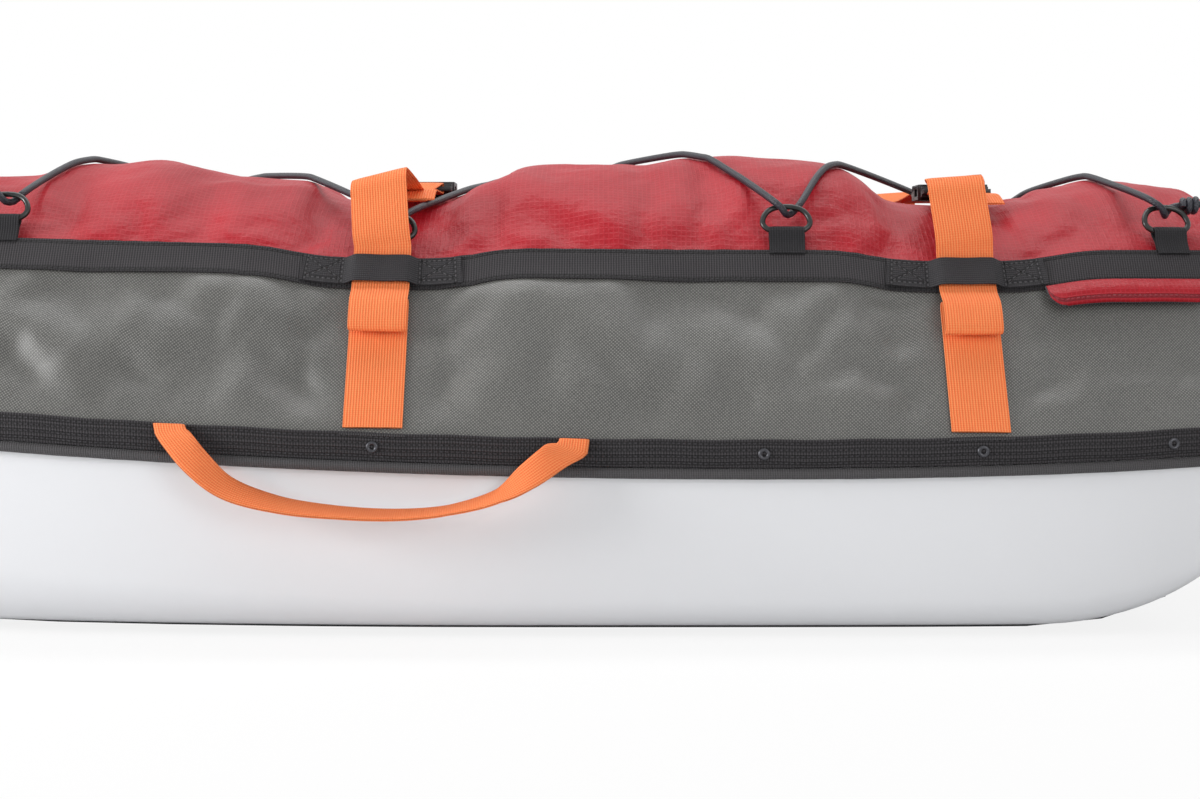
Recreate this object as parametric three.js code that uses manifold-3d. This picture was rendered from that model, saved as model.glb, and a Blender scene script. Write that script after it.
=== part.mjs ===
// Pulk: a cargo sled with a moulded hull, a cloth load bag riveted round its rim, and lashings.
// Millimetres. +X runs to the stern, -Y is the port side, +Z is up, and the ground is z = 0.
import * as THREE from 'three';
import { mergeVertices } from 'three/addons/utils/BufferGeometryUtils.js';
import Module from 'manifold-3d';

const wasm = await Module();
wasm.setup();

// Clearances and tolerances
const GAP = 0.3;
const RUNNING_GAP = 0.5;
const OVERRUN = 2;
const WELD = 0.001;
const PROBE = 0.01;

// Hull
const LENGTH = 1290;
const BEAM = 500;
const HULL_WALL = 4;
const BOW_FULLNESS = 3.2;
const STERN_FULLNESS = 6;
const SHEER_LOW = 138;
const SHEER_BOW_RISE = 59;
const SHEER_STERN_RISE = 11;
const SHEER_LOW_SHARE = 0.2;
const NOSE_WALL = 38;
const TRANSOM_WALL = 32;
const KEEL_FLAT_SHARES = [-0.2, 0.352];
const STERN_SWEEP = THREE.MathUtils.degToRad(66);
const BILGE_RADIUS = 20;
const BOW_BILGE_RADIUS = 130;
const BILGE_SPREAD_SHARE = 0.08;
const FLARE_SHARE = 0.045;

// Sole and runners
const SOLE_T = 2.5;
const SOLE_INSET = 7;
const SOLE_SHARES = [-0.4, 0.44];
const RUNNER_T = 5;
const RUNNER_WIDTH = 18;
const RUNNER_Y_SHARE = 0.24;
const RUNNER_SHARES = [-0.33, 0.41];
const KEEL_Z = RUNNER_T + SOLE_T + 2 * GAP;

// Hem round the rim
const CLOTH = 2;
const BAND_T = 2.4;
const BAND_HEIGHT = 18.6;
const PIPING_RADIUS = 3.6;
const PIPING_SIDES = 5;
const HEM_OVERLAP = 5;
const BAND_D = GAP + CLOTH + GAP;
const HEM_HEIGHT = BAND_HEIGHT + GAP + 2 * PIPING_RADIUS;

// Bag wall, its lean and its trim
const SIDE_LEAN = 75;
const BOW_LEAN = 42;
const STERN_LEAN = 12;
const END_LEAN_POWER = 6;
const TRIM_TOP = 264;
const TRIM_BOW_RISE = 26;
const TRIM_DIP = 8;
const TRIM_WIDTH = 25;
const TRIM_T = 1.6;
const TRIM_D = GAP + CLOTH + RUNNING_GAP;
const SEAM = 1;
const STRAP_START = 1.6;

// Top cover
const COVER_T = 1.5;
const COVER_CROWN = 72;
const COVER_DIP_SHARE = 0.33;
const COVER_PEAK_SHARE = 0.18;
const COVER_SLACK_SHARES = [0.5, 1];
const COVER_POWER = 3;
const COVER_END_POWER = 20;
const COVER_OVERLAP = 44;
const COVER_COLUMN_SHARES = [0.95, 0.82, 0.6];
const COVER_D = GAP + COVER_T / 2;
const COVER_CAP_CELLS = 6;
const COVER_SEAM_GAP = 1.5;
const COVER_LAP_GAP = 1.2;

// Rivets
const RIVET_SHARES = [-0.417, -0.316, -0.215, -0.108, 0, 0.1065, 0.2027, 0.3163, 0.417];
const RIVET_DROP = 9.3;
const RIVET_HEAD_RADIUS = 4.1;
const RIVET_HEAD_T = 1.5;
const RIVET_RADIUS = 1.7;
const RIVET_SIDES = 6;
const BATTEN_T = 2;
const BATTEN_WIDTH = 12;

// Lashing straps
const STRAP_WIDTH = 40;
const STRAP_T = 1.6;
const STRAP_SHARE = 0.3155;
const STRAP_TILTS = [8, 14, 4].map((tilt) => THREE.MathUtils.degToRad(tilt));
const BUCKLE_SHIFT_SHARES = [-0.375, 0.3, 0.475];
const STRAP_REST_D = 4;
const STRAP_TRIM_D = 7;
const STRAP_TOP_D = 8.6;
const STRAP_RISE = 3;
const FOLD_DROP = 14;
const FOLD_LENGTH = 22;
const FOLD_TURN = 2.4;
const FOLD_BULGE = 3.2;
const ARCH_INSET = 13;
const ARCH_RISE = 61;
const ARCH_ROUND = 8;
const ARCH_LEAN = -4;
const STRAP_SAG = 8;
const TAIL_INSET = 53;
const TAIL_LIFT = 13;
const DIP_REACH = 72;
const DIP_POWER = 4;

// Keepers that hold the straps on the trim
const KEEPER_LENGTH = 112;
const KEEPER_WIDTH = 22;
const KEEPER_T = 1.5;
const KEEPER_LIFT = 1.3;

// Side release buckles
const BUCKLE_WIDTH = 54;
const BUCKLE_T = 12;
const BUCKLE_WALL = 2.6;
const BUCKLE_LIFT = 1;
const BAR_Y = 31.5;
const BAR_WIDTH = 5;
const BAR_T = 3.5;
const SLOT_WIDTH = 6;
const SLOT_LENGTH = 43;
const FRAME_WIDTH = 51;
const SOCKET_MOUTH_Y = 13.7;
const PRONG_LENGTH = 24;
const PRONG_T = 5;
const ARM_WIDTH = 5;
const GUIDE_WIDTH = 8;
const WINDOW_LENGTH = 12;
const CORNER = 3;

// D-rings, their tabs and the lashing cord
const RING_WIDTH = 38;
const RING_HEIGHT = 20;
const RING_WIRE = 2;
const RING_SIDES = 5;
const RING_ARC_STEPS = 8;
const RING_LEAN = THREE.MathUtils.degToRad(28);
const TAB_WIDTH = 25;
const TAB_T = 1.4;
const TAB_HEIGHT = 14;
const TAB_TURN_STEPS = 5;
const CORD_RADIUS = 2.5;
const CORD_SIDES = 5;
const CORD_SAMPLES = 60;
const CORD_PITCH = 9;
const CORD_LIFT = 1.5;
const CORD_TAIL = 26;
const PORT_RING_SHARES = [-0.2078, 0.0039, 0.2194, 0.431];
const STARBOARD_RING_SHARES = [-0.3705, -0.1434, 0.0822, 0.3682];

// Carry handles
const HANDLE_WIDTH = 20;
const HANDLE_T = 2.2;
const HANDLE_SPAN = 270;
const HANDLE_SAG = 54;
const HANDLE_STAND = 12.5;
const HANDLE_STAND_SHARE = 0.3;
const HANDLE_TWIST = THREE.MathUtils.degToRad(66);
const HANDLE_STEPS = 34;
const HANDLE_LEVEL_STEPS = 3;
const HANDLE_X_SHARES = [-1, -0.99, -0.94, -0.847, -0.709, -0.453, -0.158, 0.138, 0.384, 0.63, 0.778, 0.91, 0.99, 1];
const HANDLE_DROP_SHARES = [0, 0.06, 0.2, 0.45, 0.73, 0.92, 0.99, 0.99, 0.91, 0.71, 0.45, 0.2, 0.08, 0];
const HANDLE_TWIST_SHARES = [0, 0.01, 0.12, 0.36, 0.64, 0.88, 1, 1.04, 1.08, 0.95, 0.4, 0.02, 0, 0];

// Pocket
const FLAP_SHARES = [0.358, 0.446];
const FLAP_HEIGHT = 19;
const FLAP_T = 1.2;
const FLAP_TOP_D = 5.8;
const FLAP_BELLY = 5;
const FLAP_STEPS = 6;
const ZIP_SHARES = [0.37, 0.41];
const ZIP_DROP = 11;
const ZIP_TAPE_WIDTH = 12;
const ZIP_TAPE_T = 0.8;
const COIL_WIDTH = 3;
const COIL_T = 1.2;
const SLIDER_LENGTH = 8;
const SLIDER_WIDTH = 6.5;
const SLIDER_T = 0.7;

// Tow clevises on the bow quarters
const TOW_SHARE = -0.372;
const CLEVIS_DEPTH = 26;
const CLEVIS_PLATE = 3;
const CLEVIS_LENGTH = 44;
const CLEVIS_HEIGHT = 17;
const CLEVIS_STAND = 1;
const BOLT_RADIUS = 2;
const BOLT_HEAD_RADIUS = 4;
const BOLT_HEAD_T = 2;
const BOLT_SHARES = [-0.3, -0.04];
const PIN_RADIUS = 3;
const PIN_SHARE = 0.26;
const PIN_HEAD_RADIUS = 6;
const PIN_HEAD_T = 2;
const PIN_BOSS_RADIUS = 4;
const PIN_BOSS_LENGTH = 8;
const PULL_RING_RADIUS = 10;
const PULL_RING_WIRE = 0.9;
const PULL_HOLE_RADIUS = 1.8;

// Curve sampling
const FINE_STEPS = 600;
const STATION_COUNT = 32;
const RUN_WEIGHT = 1.7;
const TURN_WEIGHT = 1.5;
const BILGE_STEPS = 4;

const HALF_LENGTH = LENGTH / 2;
const HALF_BEAM = BEAM / 2;
const PORT = -1;
const STARBOARD = 1;
const UP = new THREE.Vector3(0, 0, 1);

const COLOURS = {
  hull: { color: 0xf0f0f2, roughness: 0.35, metalness: 0 },
  sole: { color: 0x17181a, roughness: 0.5, metalness: 0 },
  webbing: { color: 0x2b2a2c, roughness: 0.85, metalness: 0 },
  skirt: { color: 0x6a6764, roughness: 0.9, metalness: 0 },
  cover: { color: 0xc23f4c, roughness: 0.75, metalness: 0 },
  strap: { color: 0xfa8a4b, roughness: 0.8, metalness: 0 },
  buckle: { color: 0x1d1d1f, roughness: 0.4, metalness: 0 },
  cord: { color: 0x232327, roughness: 0.7, metalness: 0 },
  wire: { color: 0x1c1f1e, roughness: 0.3, metalness: 0.6 },
  steel: { color: 0xa8abad, roughness: 0.35, metalness: 1 },
  bracket: { color: 0x303234, roughness: 0.45, metalness: 0.8 },
};

const pulk = new THREE.Group();

function addPiece(name, geometry, finish) {
  const piece = new THREE.Mesh(geometry, new THREE.MeshStandardMaterial(COLOURS[finish]));
  piece.name = name;
  pulk.add(piece);
  return piece;
}

// Mesh helpers

function signedVolume(points, faces) {
  let sum = 0;
  for (const [a, b, c] of faces) {
    sum += points[a].dot(new THREE.Vector3().crossVectors(points[b], points[c]));
  }
  return sum;
}

function weld(points, faces) {
  const places = new Map();
  const kept = [];
  const remap = points.map((point) => {
    const key = [point.x, point.y, point.z].map((value) => Math.round(value / WELD)).join();
    if (!places.has(key)) {
      places.set(key, kept.length);
      kept.push(point);
    }
    return places.get(key);
  });
  const sound = faces
    .map((face) => face.map((corner) => remap[corner]))
    .filter(([a, b, c]) => a !== b && b !== c && c !== a);
  return { points: kept, faces: sound };
}

function solidFrom(points, faces) {
  const sound = weld(points, faces);
  if (signedVolume(sound.points, sound.faces) < 0) {
    sound.faces.forEach((face) => face.reverse());
  }
  const geometry = new THREE.BufferGeometry();
  geometry.setAttribute('position', new THREE.Float32BufferAttribute(
    sound.points.flatMap((point) => point.toArray()), 3));
  geometry.setIndex(sound.faces.flat());
  return geometry;
}

// A skin through rings of equal count: the ends are closed unless the rings run round to the start.
function loft(rings, closed = false) {
  const sides = rings[0].length;
  const points = rings.flat();
  const faces = [];
  const spans = closed ? rings.length : rings.length - 1;
  for (let ring = 0; ring < spans; ring += 1) {
    const next = (ring + 1) % rings.length;
    for (let side = 0; side < sides; side += 1) {
      const across = (side + 1) % sides;
      const a = ring * sides + side;
      const b = ring * sides + across;
      const c = next * sides + across;
      const d = next * sides + side;
      faces.push([a, b, c], [a, c, d]);
    }
  }
  if (!closed) {
    const last = (rings.length - 1) * sides;
    for (let low = 0, high = sides - 1; low + 1 < high; low += 1, high -= 1) {
      faces.push([low, high, low + 1], [last + low, last + low + 1, last + high]);
      if (low + 1 < high - 1) {
        faces.push([low + 1, high, high - 1], [last + low + 1, last + high - 1, last + high]);
      }
    }
  }
  return solidFrom(points, faces);
}

// An open surface given thickness along its normals; level(point) keeps a rim's wall horizontal.
function thicken(surface, front, back, level = () => false) {
  const { points, faces } = weld(surface.points, surface.faces);
  const normals = points.map(() => new THREE.Vector3());
  const edges = new Map();
  for (const face of faces) {
    const [a, b, c] = face.map((corner) => points[corner]);
    const normal = new THREE.Vector3().crossVectors(b.clone().sub(a), c.clone().sub(a)).normalize();
    face.forEach((corner, place) => {
      const here = points[corner];
      const one = points[face[(place + 1) % 3]].clone().sub(here);
      const other = points[face[(place + 2) % 3]].clone().sub(here);
      normals[corner].addScaledVector(normal, one.angleTo(other));
      edges.set(`${corner},${face[(place + 1) % 3]}`, true);
    });
  }
  points.forEach((point, place) => {
    if (level(point)) normals[place].z = 0;
    normals[place].normalize();
  });
  const count = points.length;
  const all = [
    ...points.map((point, place) => point.clone().addScaledVector(normals[place], front)),
    ...points.map((point, place) => point.clone().addScaledVector(normals[place], -back)),
  ];
  const skins = faces.flatMap(([a, b, c]) => [[a, b, c], [c + count, b + count, a + count]]);
  for (const key of edges.keys()) {
    const [from, to] = key.split(',').map(Number);
    if (!edges.has(`${to},${from}`)) {
      skins.push([to, from, from + count], [to, from + count, to + count]);
    }
  }
  return solidFrom(all, skins);
}

function gridSurface(rows) {
  const columns = rows[0].length;
  const faces = [];
  for (let row = 0; row + 1 < rows.length; row += 1) {
    for (let column = 0; column + 1 < columns; column += 1) {
      const a = row * columns + column;
      faces.push([a, a + columns, a + columns + 1], [a, a + columns + 1, a + 1]);
    }
  }
  return { points: rows.flat(), faces };
}

function tangentAt(path, place, closed) {
  const before = closed ? path[(place + path.length - 1) % path.length] : path[Math.max(place - 1, 0)];
  const after = closed ? path[(place + 1) % path.length] : path[Math.min(place + 1, path.length - 1)];
  const here = path[place];
  const ahead = after.clone().sub(here).normalize();
  const behind = here.clone().sub(before).normalize();
  return ahead.add(behind).normalize();
}

// A flat band swept along points, each with the direction that its width lies in and the slant of its cut.
function ribbon(path, widths, width, thickness, slants = []) {
  const rings = path.map((point, place) => {
    const tangent = tangentAt(path, place, false);
    const flat = new THREE.Vector3().crossVectors(tangent, widths[place]).normalize();
    const across = new THREE.Vector3().crossVectors(flat, tangent).normalize();
    across.addScaledVector(tangent, slants[place] ?? 0);
    return [[1, 1], [-1, 1], [-1, -1], [1, -1]].map(([side, face]) => point.clone()
      .addScaledVector(across, side * width / 2)
      .addScaledVector(flat, face * thickness / 2));
  });
  return loft(rings);
}

function tube(path, radius, sides, closed = false) {
  let lift = new THREE.Vector3(0.31, 0.17, 0.93);
  const rings = path.map((point, place) => {
    const tangent = tangentAt(path, place, closed);
    const side = new THREE.Vector3().crossVectors(tangent, lift).normalize();
    lift = new THREE.Vector3().crossVectors(side, tangent).normalize();
    return Array.from({ length: sides }, (_, step) => {
      const angle = 2 * Math.PI * step / sides;
      return point.clone()
        .addScaledVector(side, radius * Math.cos(angle))
        .addScaledVector(lift, radius * Math.sin(angle));
    });
  });
  return loft(rings, closed);
}

function toManifold(geometry) {
  const bare = geometry.clone();
  bare.deleteAttribute('normal');
  bare.deleteAttribute('uv');
  const merged = mergeVertices(bare, WELD);
  return new wasm.Manifold(new wasm.Mesh({
    numProp: 3,
    vertProperties: new Float32Array(merged.attributes.position.array),
    triVerts: new Uint32Array(merged.index.array),
  }));
}

function fromManifold(body) {
  const mesh = body.getMesh();
  const geometry = new THREE.BufferGeometry();
  geometry.setAttribute('position', new THREE.Float32BufferAttribute(mesh.vertProperties, 3));
  geometry.setIndex(Array.from(mesh.triVerts));
  return geometry;
}

function cut(geometry, tools) {
  const body = tools.reduce((rest, tool) => rest.subtract(toManifold(tool)), toManifold(geometry));
  return fromManifold(body);
}

function join(geometries) {
  const [first, ...others] = geometries.map(toManifold);
  return fromManifold(others.reduce((whole, other) => whole.add(other), first));
}

// A geometry moved into a frame given by its origin and its x, y and z directions.
function placed(geometry, origin, x, y, z) {
  const frame = new THREE.Matrix4().makeBasis(x, y, z).setPosition(origin);
  return geometry.clone().applyMatrix4(frame);
}

// A plain round bar along +Z from its foot, as a turned profile.
function turned(profile, sides) {
  const points = profile.map(([radius, height]) => new THREE.Vector2(radius, height));
  return new THREE.LatheGeometry(points, sides);
}

function bar(radius, from, to, sides) {
  return turned([[0, from], [radius, from], [radius, to], [0, to]], sides)
    .rotateX(Math.PI / 2);
}

function rectangle(x0, y0, x1, y1) {
  const shape = new THREE.Shape();
  shape.moveTo(x0, y0);
  shape.lineTo(x1, y0);
  shape.lineTo(x1, y1);
  shape.lineTo(x0, y1);
  shape.closePath();
  return shape;
}

function slab(shape, from, to) {
  const geometry = new THREE.ExtrudeGeometry(shape, { depth: to - from, bevelEnabled: false });
  return geometry.translate(0, 0, from);
}

function block(x0, y0, z0, x1, y1, z1) {
  return slab(rectangle(x0, y0, x1, y1), z0, z1);
}

// Lines of the hull

function smoothHalfBreadth(x) {
  const power = x < 0 ? BOW_FULLNESS : STERN_FULLNESS;
  const rest = 1 - Math.pow(Math.abs(x) / HALF_LENGTH, power);
  return HALF_BEAM * Math.pow(Math.max(rest, 0), 1 / power);
}

function sheer(x) {
  const low = SHEER_LOW_SHARE * LENGTH;
  const end = x < low ? -HALF_LENGTH : HALF_LENGTH;
  const rise = x < low ? SHEER_BOW_RISE : SHEER_STERN_RISE;
  return SHEER_LOW + rise * Math.pow((x - low) / (end - low), 2);
}

function keel(x) {
  const [flatStart, flatEnd] = KEEL_FLAT_SHARES.map((share) => share * LENGTH);
  if (x < flatStart) {
    const share = (flatStart - x) / (flatStart + HALF_LENGTH);
    const rise = sheer(-HALF_LENGTH) - NOSE_WALL - KEEL_Z;
    return KEEL_Z + rise * (0.6 * Math.pow(share, 2) + 0.4 * Math.pow(share, 6));
  }
  if (x > flatEnd) {
    const share = (x - flatEnd) / (HALF_LENGTH - flatEnd);
    const rise = sheer(HALF_LENGTH) - TRANSOM_WALL - KEEL_Z;
    const angle = Math.asin(share * Math.sin(STERN_SWEEP));
    return KEEL_Z + rise * (1 - Math.cos(angle)) / (1 - Math.cos(STERN_SWEEP));
  }
  return KEEL_Z;
}

const STRAPS = [
  { name: 'bow', x: -STRAP_SHARE * LENGTH },
  { name: 'mid', x: 0 },
  { name: 'stern', x: STRAP_SHARE * LENGTH },
].map((strap, place) => ({
  ...strap,
  buckleShift: BUCKLE_SHIFT_SHARES[place] * STRAP_WIDTH,
  tilt: STRAP_TILTS[place],
}));

function dip(x) {
  return STRAPS.reduce((most, strap) => Math.max(most,
    Math.exp(-Math.pow((x - strap.x) / DIP_REACH, DIP_POWER))), 0);
}

function smoothTrim(x) {
  const low = SHEER_LOW_SHARE * LENGTH;
  const share = x < low ? (x - low) / (-HALF_LENGTH - low) : 0;
  return TRIM_TOP + TRIM_BOW_RISE * share * share - TRIM_DIP * dip(x);
}

function smoothCrown(x) {
  const end = 1 - Math.pow(Math.abs(x) / HALF_LENGTH, COVER_END_POWER);
  const away = (x - COVER_PEAK_SHARE * LENGTH) / HALF_LENGTH;
  const slack = COVER_SLACK_SHARES[away < 0 ? 0 : 1];
  return COVER_CROWN * (1 - slack * away * away) * end * (1 - COVER_DIP_SHARE * dip(x));
}

// Stations lie closer where the plan or the keel turns, and stand at and beside each strap.
function stationPlaces() {
  const fine = Array.from({ length: FINE_STEPS + 1 }, (_, step) => -HALF_LENGTH
    * Math.cos(Math.PI * step / FINE_STEPS));
  const measure = [0];
  let heading = Math.PI / 2;
  for (let step = 1; step <= FINE_STEPS; step += 1) {
    const run = fine[step] - fine[step - 1];
    const side = smoothHalfBreadth(fine[step]) - smoothHalfBreadth(fine[step - 1]);
    const rise = keel(fine[step]) - keel(fine[step - 1]);
    const turned = Math.atan2(side, run);
    const length = Math.hypot(run, side, rise) / LENGTH;
    const turn = Math.abs(turned - heading) / Math.PI;
    heading = turned;
    measure.push(measure[step - 1] + RUN_WEIGHT * length + TURN_WEIGHT * turn);
  }
  const places = [];
  let step = 0;
  for (let station = 0; station <= STATION_COUNT; station += 1) {
    const goal = measure[FINE_STEPS] * station / STATION_COUNT;
    while (step < FINE_STEPS && measure[step + 1] < goal) step += 1;
    const next = Math.min(step + 1, FINE_STEPS);
    const share = next === step ? 0 : (goal - measure[step]) / (measure[next] - measure[step]);
    places.push(THREE.MathUtils.lerp(fine[step], fine[next], share));
  }
  const fixed = STRAPS.flatMap((strap) => [-1, 0, 1].map((side) => strap.x + side * STRAP_WIDTH));
  const free = places.filter((place) => fixed.every((x) => Math.abs(place - x) > STRAP_WIDTH / 2));
  return [...free, ...fixed].sort((one, other) => one - other);
}

const STATIONS = stationPlaces();
const LAST = STATIONS.length - 1;

// Values are read between stations on straight lines, so small pieces sit on the real facets.
function between(values, x) {
  let cell = 0;
  while (cell < LAST - 1 && STATIONS[cell + 1] < x) cell += 1;
  const share = (x - STATIONS[cell]) / (STATIONS[cell + 1] - STATIONS[cell]);
  return THREE.MathUtils.lerp(values[cell], values[cell + 1], THREE.MathUtils.clamp(share, 0, 1));
}

const HALF_BREADTHS = STATIONS.map(smoothHalfBreadth);
const RIMS = STATIONS.map(sheer);
const TRIMS = STATIONS.map(smoothTrim);
const CROWNS = STATIONS.map(smoothCrown);

// Plan outline: port side from bow to stern, then starboard back to the bow.
const OUTLINE = [
  ...STATIONS.map((x, place) => ({ x, y: PORT * HALF_BREADTHS[place], station: place })),
  ...STATIONS.slice(1, LAST).map((x, place) => (
    { x, y: STARBOARD * HALF_BREADTHS[place + 1], station: place + 1 })).reverse(),
];

// The direction that keeps every offset outline parallel to the plan's straight sides.
OUTLINE.forEach((corner, place) => {
  const before = OUTLINE[(place + OUTLINE.length - 1) % OUTLINE.length];
  const after = OUTLINE[(place + 1) % OUTLINE.length];
  const normal = (from, to) => new THREE.Vector2(to.y - from.y, from.x - to.x).normalize();
  const one = normal(before, corner);
  const other = normal(corner, after);
  corner.miter = one.clone().add(other).divideScalar(1 + one.dot(other));
});

function endLean(x) {
  const lean = x < 0 ? BOW_LEAN : -STERN_LEAN;
  return lean * Math.pow(Math.abs(x) / HALF_LENGTH, END_LEAN_POWER);
}

// A point of the bag wall: height runs from 0 at the rim to 1 at the top of the trim.
function wallPoint(x, y, height) {
  return new THREE.Vector3(
    x + endLean(x) * height,
    y * (1 - height * SIDE_LEAN / HALF_BEAM),
    THREE.MathUtils.lerp(between(RIMS, x), between(TRIMS, x), height),
  );
}

function wallCorner(corner, height, distance) {
  const point = wallPoint(corner.x, corner.y, height);
  const above = wallPoint(corner.x, corner.y, height + PROBE);
  const across = (above.x - point.x) * corner.miter.x + (above.y - point.y) * corner.miter.y;
  const slope = across / corner.miter.length() / (above.z - point.z);
  const offset = distance * Math.sqrt(1 + slope * slope);
  return point.add(new THREE.Vector3(corner.miter.x * offset, corner.miter.y * offset, 0));
}

function rimCorner(corner, drop, distance) {
  const place = new THREE.Vector3(corner.x, corner.y, RIMS[corner.station] - drop);
  return place.add(new THREE.Vector3(corner.miter.x * distance, corner.miter.y * distance, 0));
}

function sideAt(side, x, height) {
  let base = x;
  for (let pass = 0; pass < 4; pass += 1) base = x - endLean(base) * height;
  return wallPoint(base, side * between(HALF_BREADTHS, base), height);
}

// Directions on the bag wall: along the hull, up the slope and straight out of it.
function wallFrame(side, x, height, reach = STRAP_WIDTH / 2) {
  const origin = sideAt(side, x, height);
  const along = sideAt(side, x + reach, height).sub(sideAt(side, x - reach, height)).normalize();
  const above = sideAt(side, x, height + PROBE).sub(sideAt(side, x, height - PROBE));
  const out = new THREE.Vector3().crossVectors(along, above).multiplyScalar(-side).normalize();
  const up = new THREE.Vector3().crossVectors(out, along).multiplyScalar(-side).normalize();
  const slope = sideAt(side, x, 1).distanceTo(sideAt(side, x, 0));
  return { origin, along, up, out, slope };
}

function at(frame, along, up, out) {
  return frame.origin.clone()
    .addScaledVector(frame.along, along)
    .addScaledVector(frame.up, up)
    .addScaledVector(frame.out, out);
}

// Directions at the rim, where the side stands upright.
function rimFrame(side, x, drop, distance, reach) {
  const point = (place) => new THREE.Vector3(place, side * between(HALF_BREADTHS, place), 0);
  const along = point(x + reach).sub(point(x - reach)).normalize();
  const out = new THREE.Vector3().crossVectors(along, UP).multiplyScalar(-side);
  const origin = point(x).setZ(between(RIMS, x) - drop).addScaledVector(out, distance);
  return { origin, along, up: UP.clone(), out };
}

// Hull shell

function bilgeRadius(x) {
  const start = BILGE_SPREAD_SHARE * LENGTH;
  const share = THREE.MathUtils.clamp((start - x) / (HALF_LENGTH + start), 0, 1);
  return THREE.MathUtils.lerp(BILGE_RADIUS, BOW_BILGE_RADIUS, share * share);
}

function section(station) {
  const x = STATIONS[station];
  const breadth = HALF_BREADTHS[station];
  const low = keel(x);
  const knee = RIMS[station] - HEM_HEIGHT;
  const radius = Math.min(bilgeRadius(x), 0.9 * (knee - low), breadth);
  const flare = (z) => 1 - FLARE_SHARE * THREE.MathUtils.clamp((knee - z) / (knee - low), 0, 1);
  const half = [[breadth, RIMS[station]], [breadth, knee]];
  for (let step = 0; step <= BILGE_STEPS; step += 1) {
    const angle = Math.PI / 2 * step / BILGE_STEPS;
    const z = low + radius * (1 - Math.sin(angle));
    half.push([(breadth - radius * (1 - Math.cos(angle))) * flare(z), z]);
  }
  return { x, half, low, flat: (breadth - radius) * flare(low) };
}

const SECTIONS = STATIONS.map((_, station) => section(station));

function hullShell() {
  const rows = SECTIONS.map(({ x, half, low }) => [
    ...half.map(([y, z]) => new THREE.Vector3(x, PORT * y, z)),
    new THREE.Vector3(x, 0, low),
    ...half.map(([y, z]) => new THREE.Vector3(x, STARBOARD * y, z)).reverse(),
  ]);
  const rim = (point) => point.z > between(RIMS, point.x) - HEM_HEIGHT - WELD;
  return thicken(gridSurface(rows), HULL_WALL, 0, rim);
}

// Sole and runners follow the keel line, each a set distance under it.

function keelPoint(station, below) {
  const x = STATIONS[station];
  const before = SECTIONS[Math.max(station - 1, 0)];
  const after = SECTIONS[Math.min(station + 1, LAST)];
  const here = SECTIONS[station];
  const one = Math.atan2(here.low - before.low, here.x - before.x || 1);
  const other = Math.atan2(after.low - here.low, after.x - here.x || 1);
  const angle = (one + other) / 2;
  const depth = below / Math.cos((one - other) / 2);
  return { x: x + depth * Math.sin(angle), z: here.low - depth * Math.cos(angle) };
}

function stationsWithin([start, end]) {
  return STATIONS.map((_, station) => station)
    .filter((station) => STATIONS[station] > start * LENGTH && STATIONS[station] < end * LENGTH);
}

function keelStrip(stations, low, high, edges) {
  const rings = stations.map((station) => {
    const under = keelPoint(station, low);
    const over = keelPoint(station, high);
    const [near, far] = edges(station);
    return [
      new THREE.Vector3(under.x, near, under.z),
      new THREE.Vector3(under.x, far, under.z),
      new THREE.Vector3(over.x, far, over.z),
      new THREE.Vector3(over.x, near, over.z),
    ];
  });
  return loft(rings);
}

function buildBottom() {
  const soleTop = GAP;
  const soleLow = GAP + SOLE_T;
  addPiece('sole_plate', keelStrip(stationsWithin(SOLE_SHARES), soleLow, soleTop, (station) => {
    const half = SECTIONS[station].flat - SOLE_INSET;
    return [-half, half];
  }), 'sole');
  for (const [name, side] of [['port', PORT], ['starboard', STARBOARD]]) {
    const middle = side * RUNNER_Y_SHARE * BEAM;
    addPiece(`runner_${name}`, keelStrip(
      stationsWithin(RUNNER_SHARES), soleLow + GAP + RUNNER_T, soleLow + GAP,
      () => [middle - RUNNER_WIDTH / 2, middle + RUNNER_WIDTH / 2],
    ), 'sole');
  }
}

// Hem, bag wall and trim

function trimLow(corner) {
  const top = wallPoint(corner.x, corner.y, 1);
  const low = wallPoint(corner.x, corner.y, 1 - PROBE);
  return 1 - TRIM_WIDTH * PROBE / top.distanceTo(low);
}

function buildWall(drills) {
  const band = loft(OUTLINE.map((corner) => [
    rimCorner(corner, 0, BAND_D),
    rimCorner(corner, BAND_HEIGHT, BAND_D),
    rimCorner(corner, BAND_HEIGHT, BAND_D + BAND_T),
    rimCorner(corner, 0, BAND_D + BAND_T),
  ]), true);
  addPiece('hem_band', cut(band, drills), 'webbing');
  const pipingDrop = BAND_HEIGHT + GAP + PIPING_RADIUS;
  addPiece('hem_piping', loft(OUTLINE.map((corner) => (
    Array.from({ length: PIPING_SIDES }, (_, step) => {
      const angle = 2 * Math.PI * step / PIPING_SIDES;
      return rimCorner(corner, pipingDrop - PIPING_RADIUS * Math.cos(angle),
        GAP + PIPING_RADIUS * (1 + Math.sin(angle)));
    }))), true), 'webbing');
  addPiece('side_skirt', loft(OUTLINE.map((corner) => {
    const low = trimLow(corner);
    const seam = (1 + low) / 2 - (1 - low) * SEAM / TRIM_WIDTH;
    const drops = [HEM_OVERLAP, 0];
    return [
      ...drops.map((drop) => rimCorner(corner, drop, GAP + CLOTH)),
      wallCorner(corner, seam, GAP + CLOTH),
      wallCorner(corner, seam, GAP),
      ...drops.map((drop) => rimCorner(corner, drop, GAP)).reverse(),
    ];
  }), true), 'skirt');
  addPiece('top_trim', loft(OUTLINE.map((corner) => {
    const low = trimLow(corner);
    return [
      wallCorner(corner, low, TRIM_D),
      wallCorner(corner, low, TRIM_D + TRIM_T),
      wallCorner(corner, 1, TRIM_D + TRIM_T),
      wallCorner(corner, 1, TRIM_D),
    ];
  }), true), 'webbing');
}

// Top cover: two cloth flaps that overlap along the middle, the port one on top.

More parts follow.
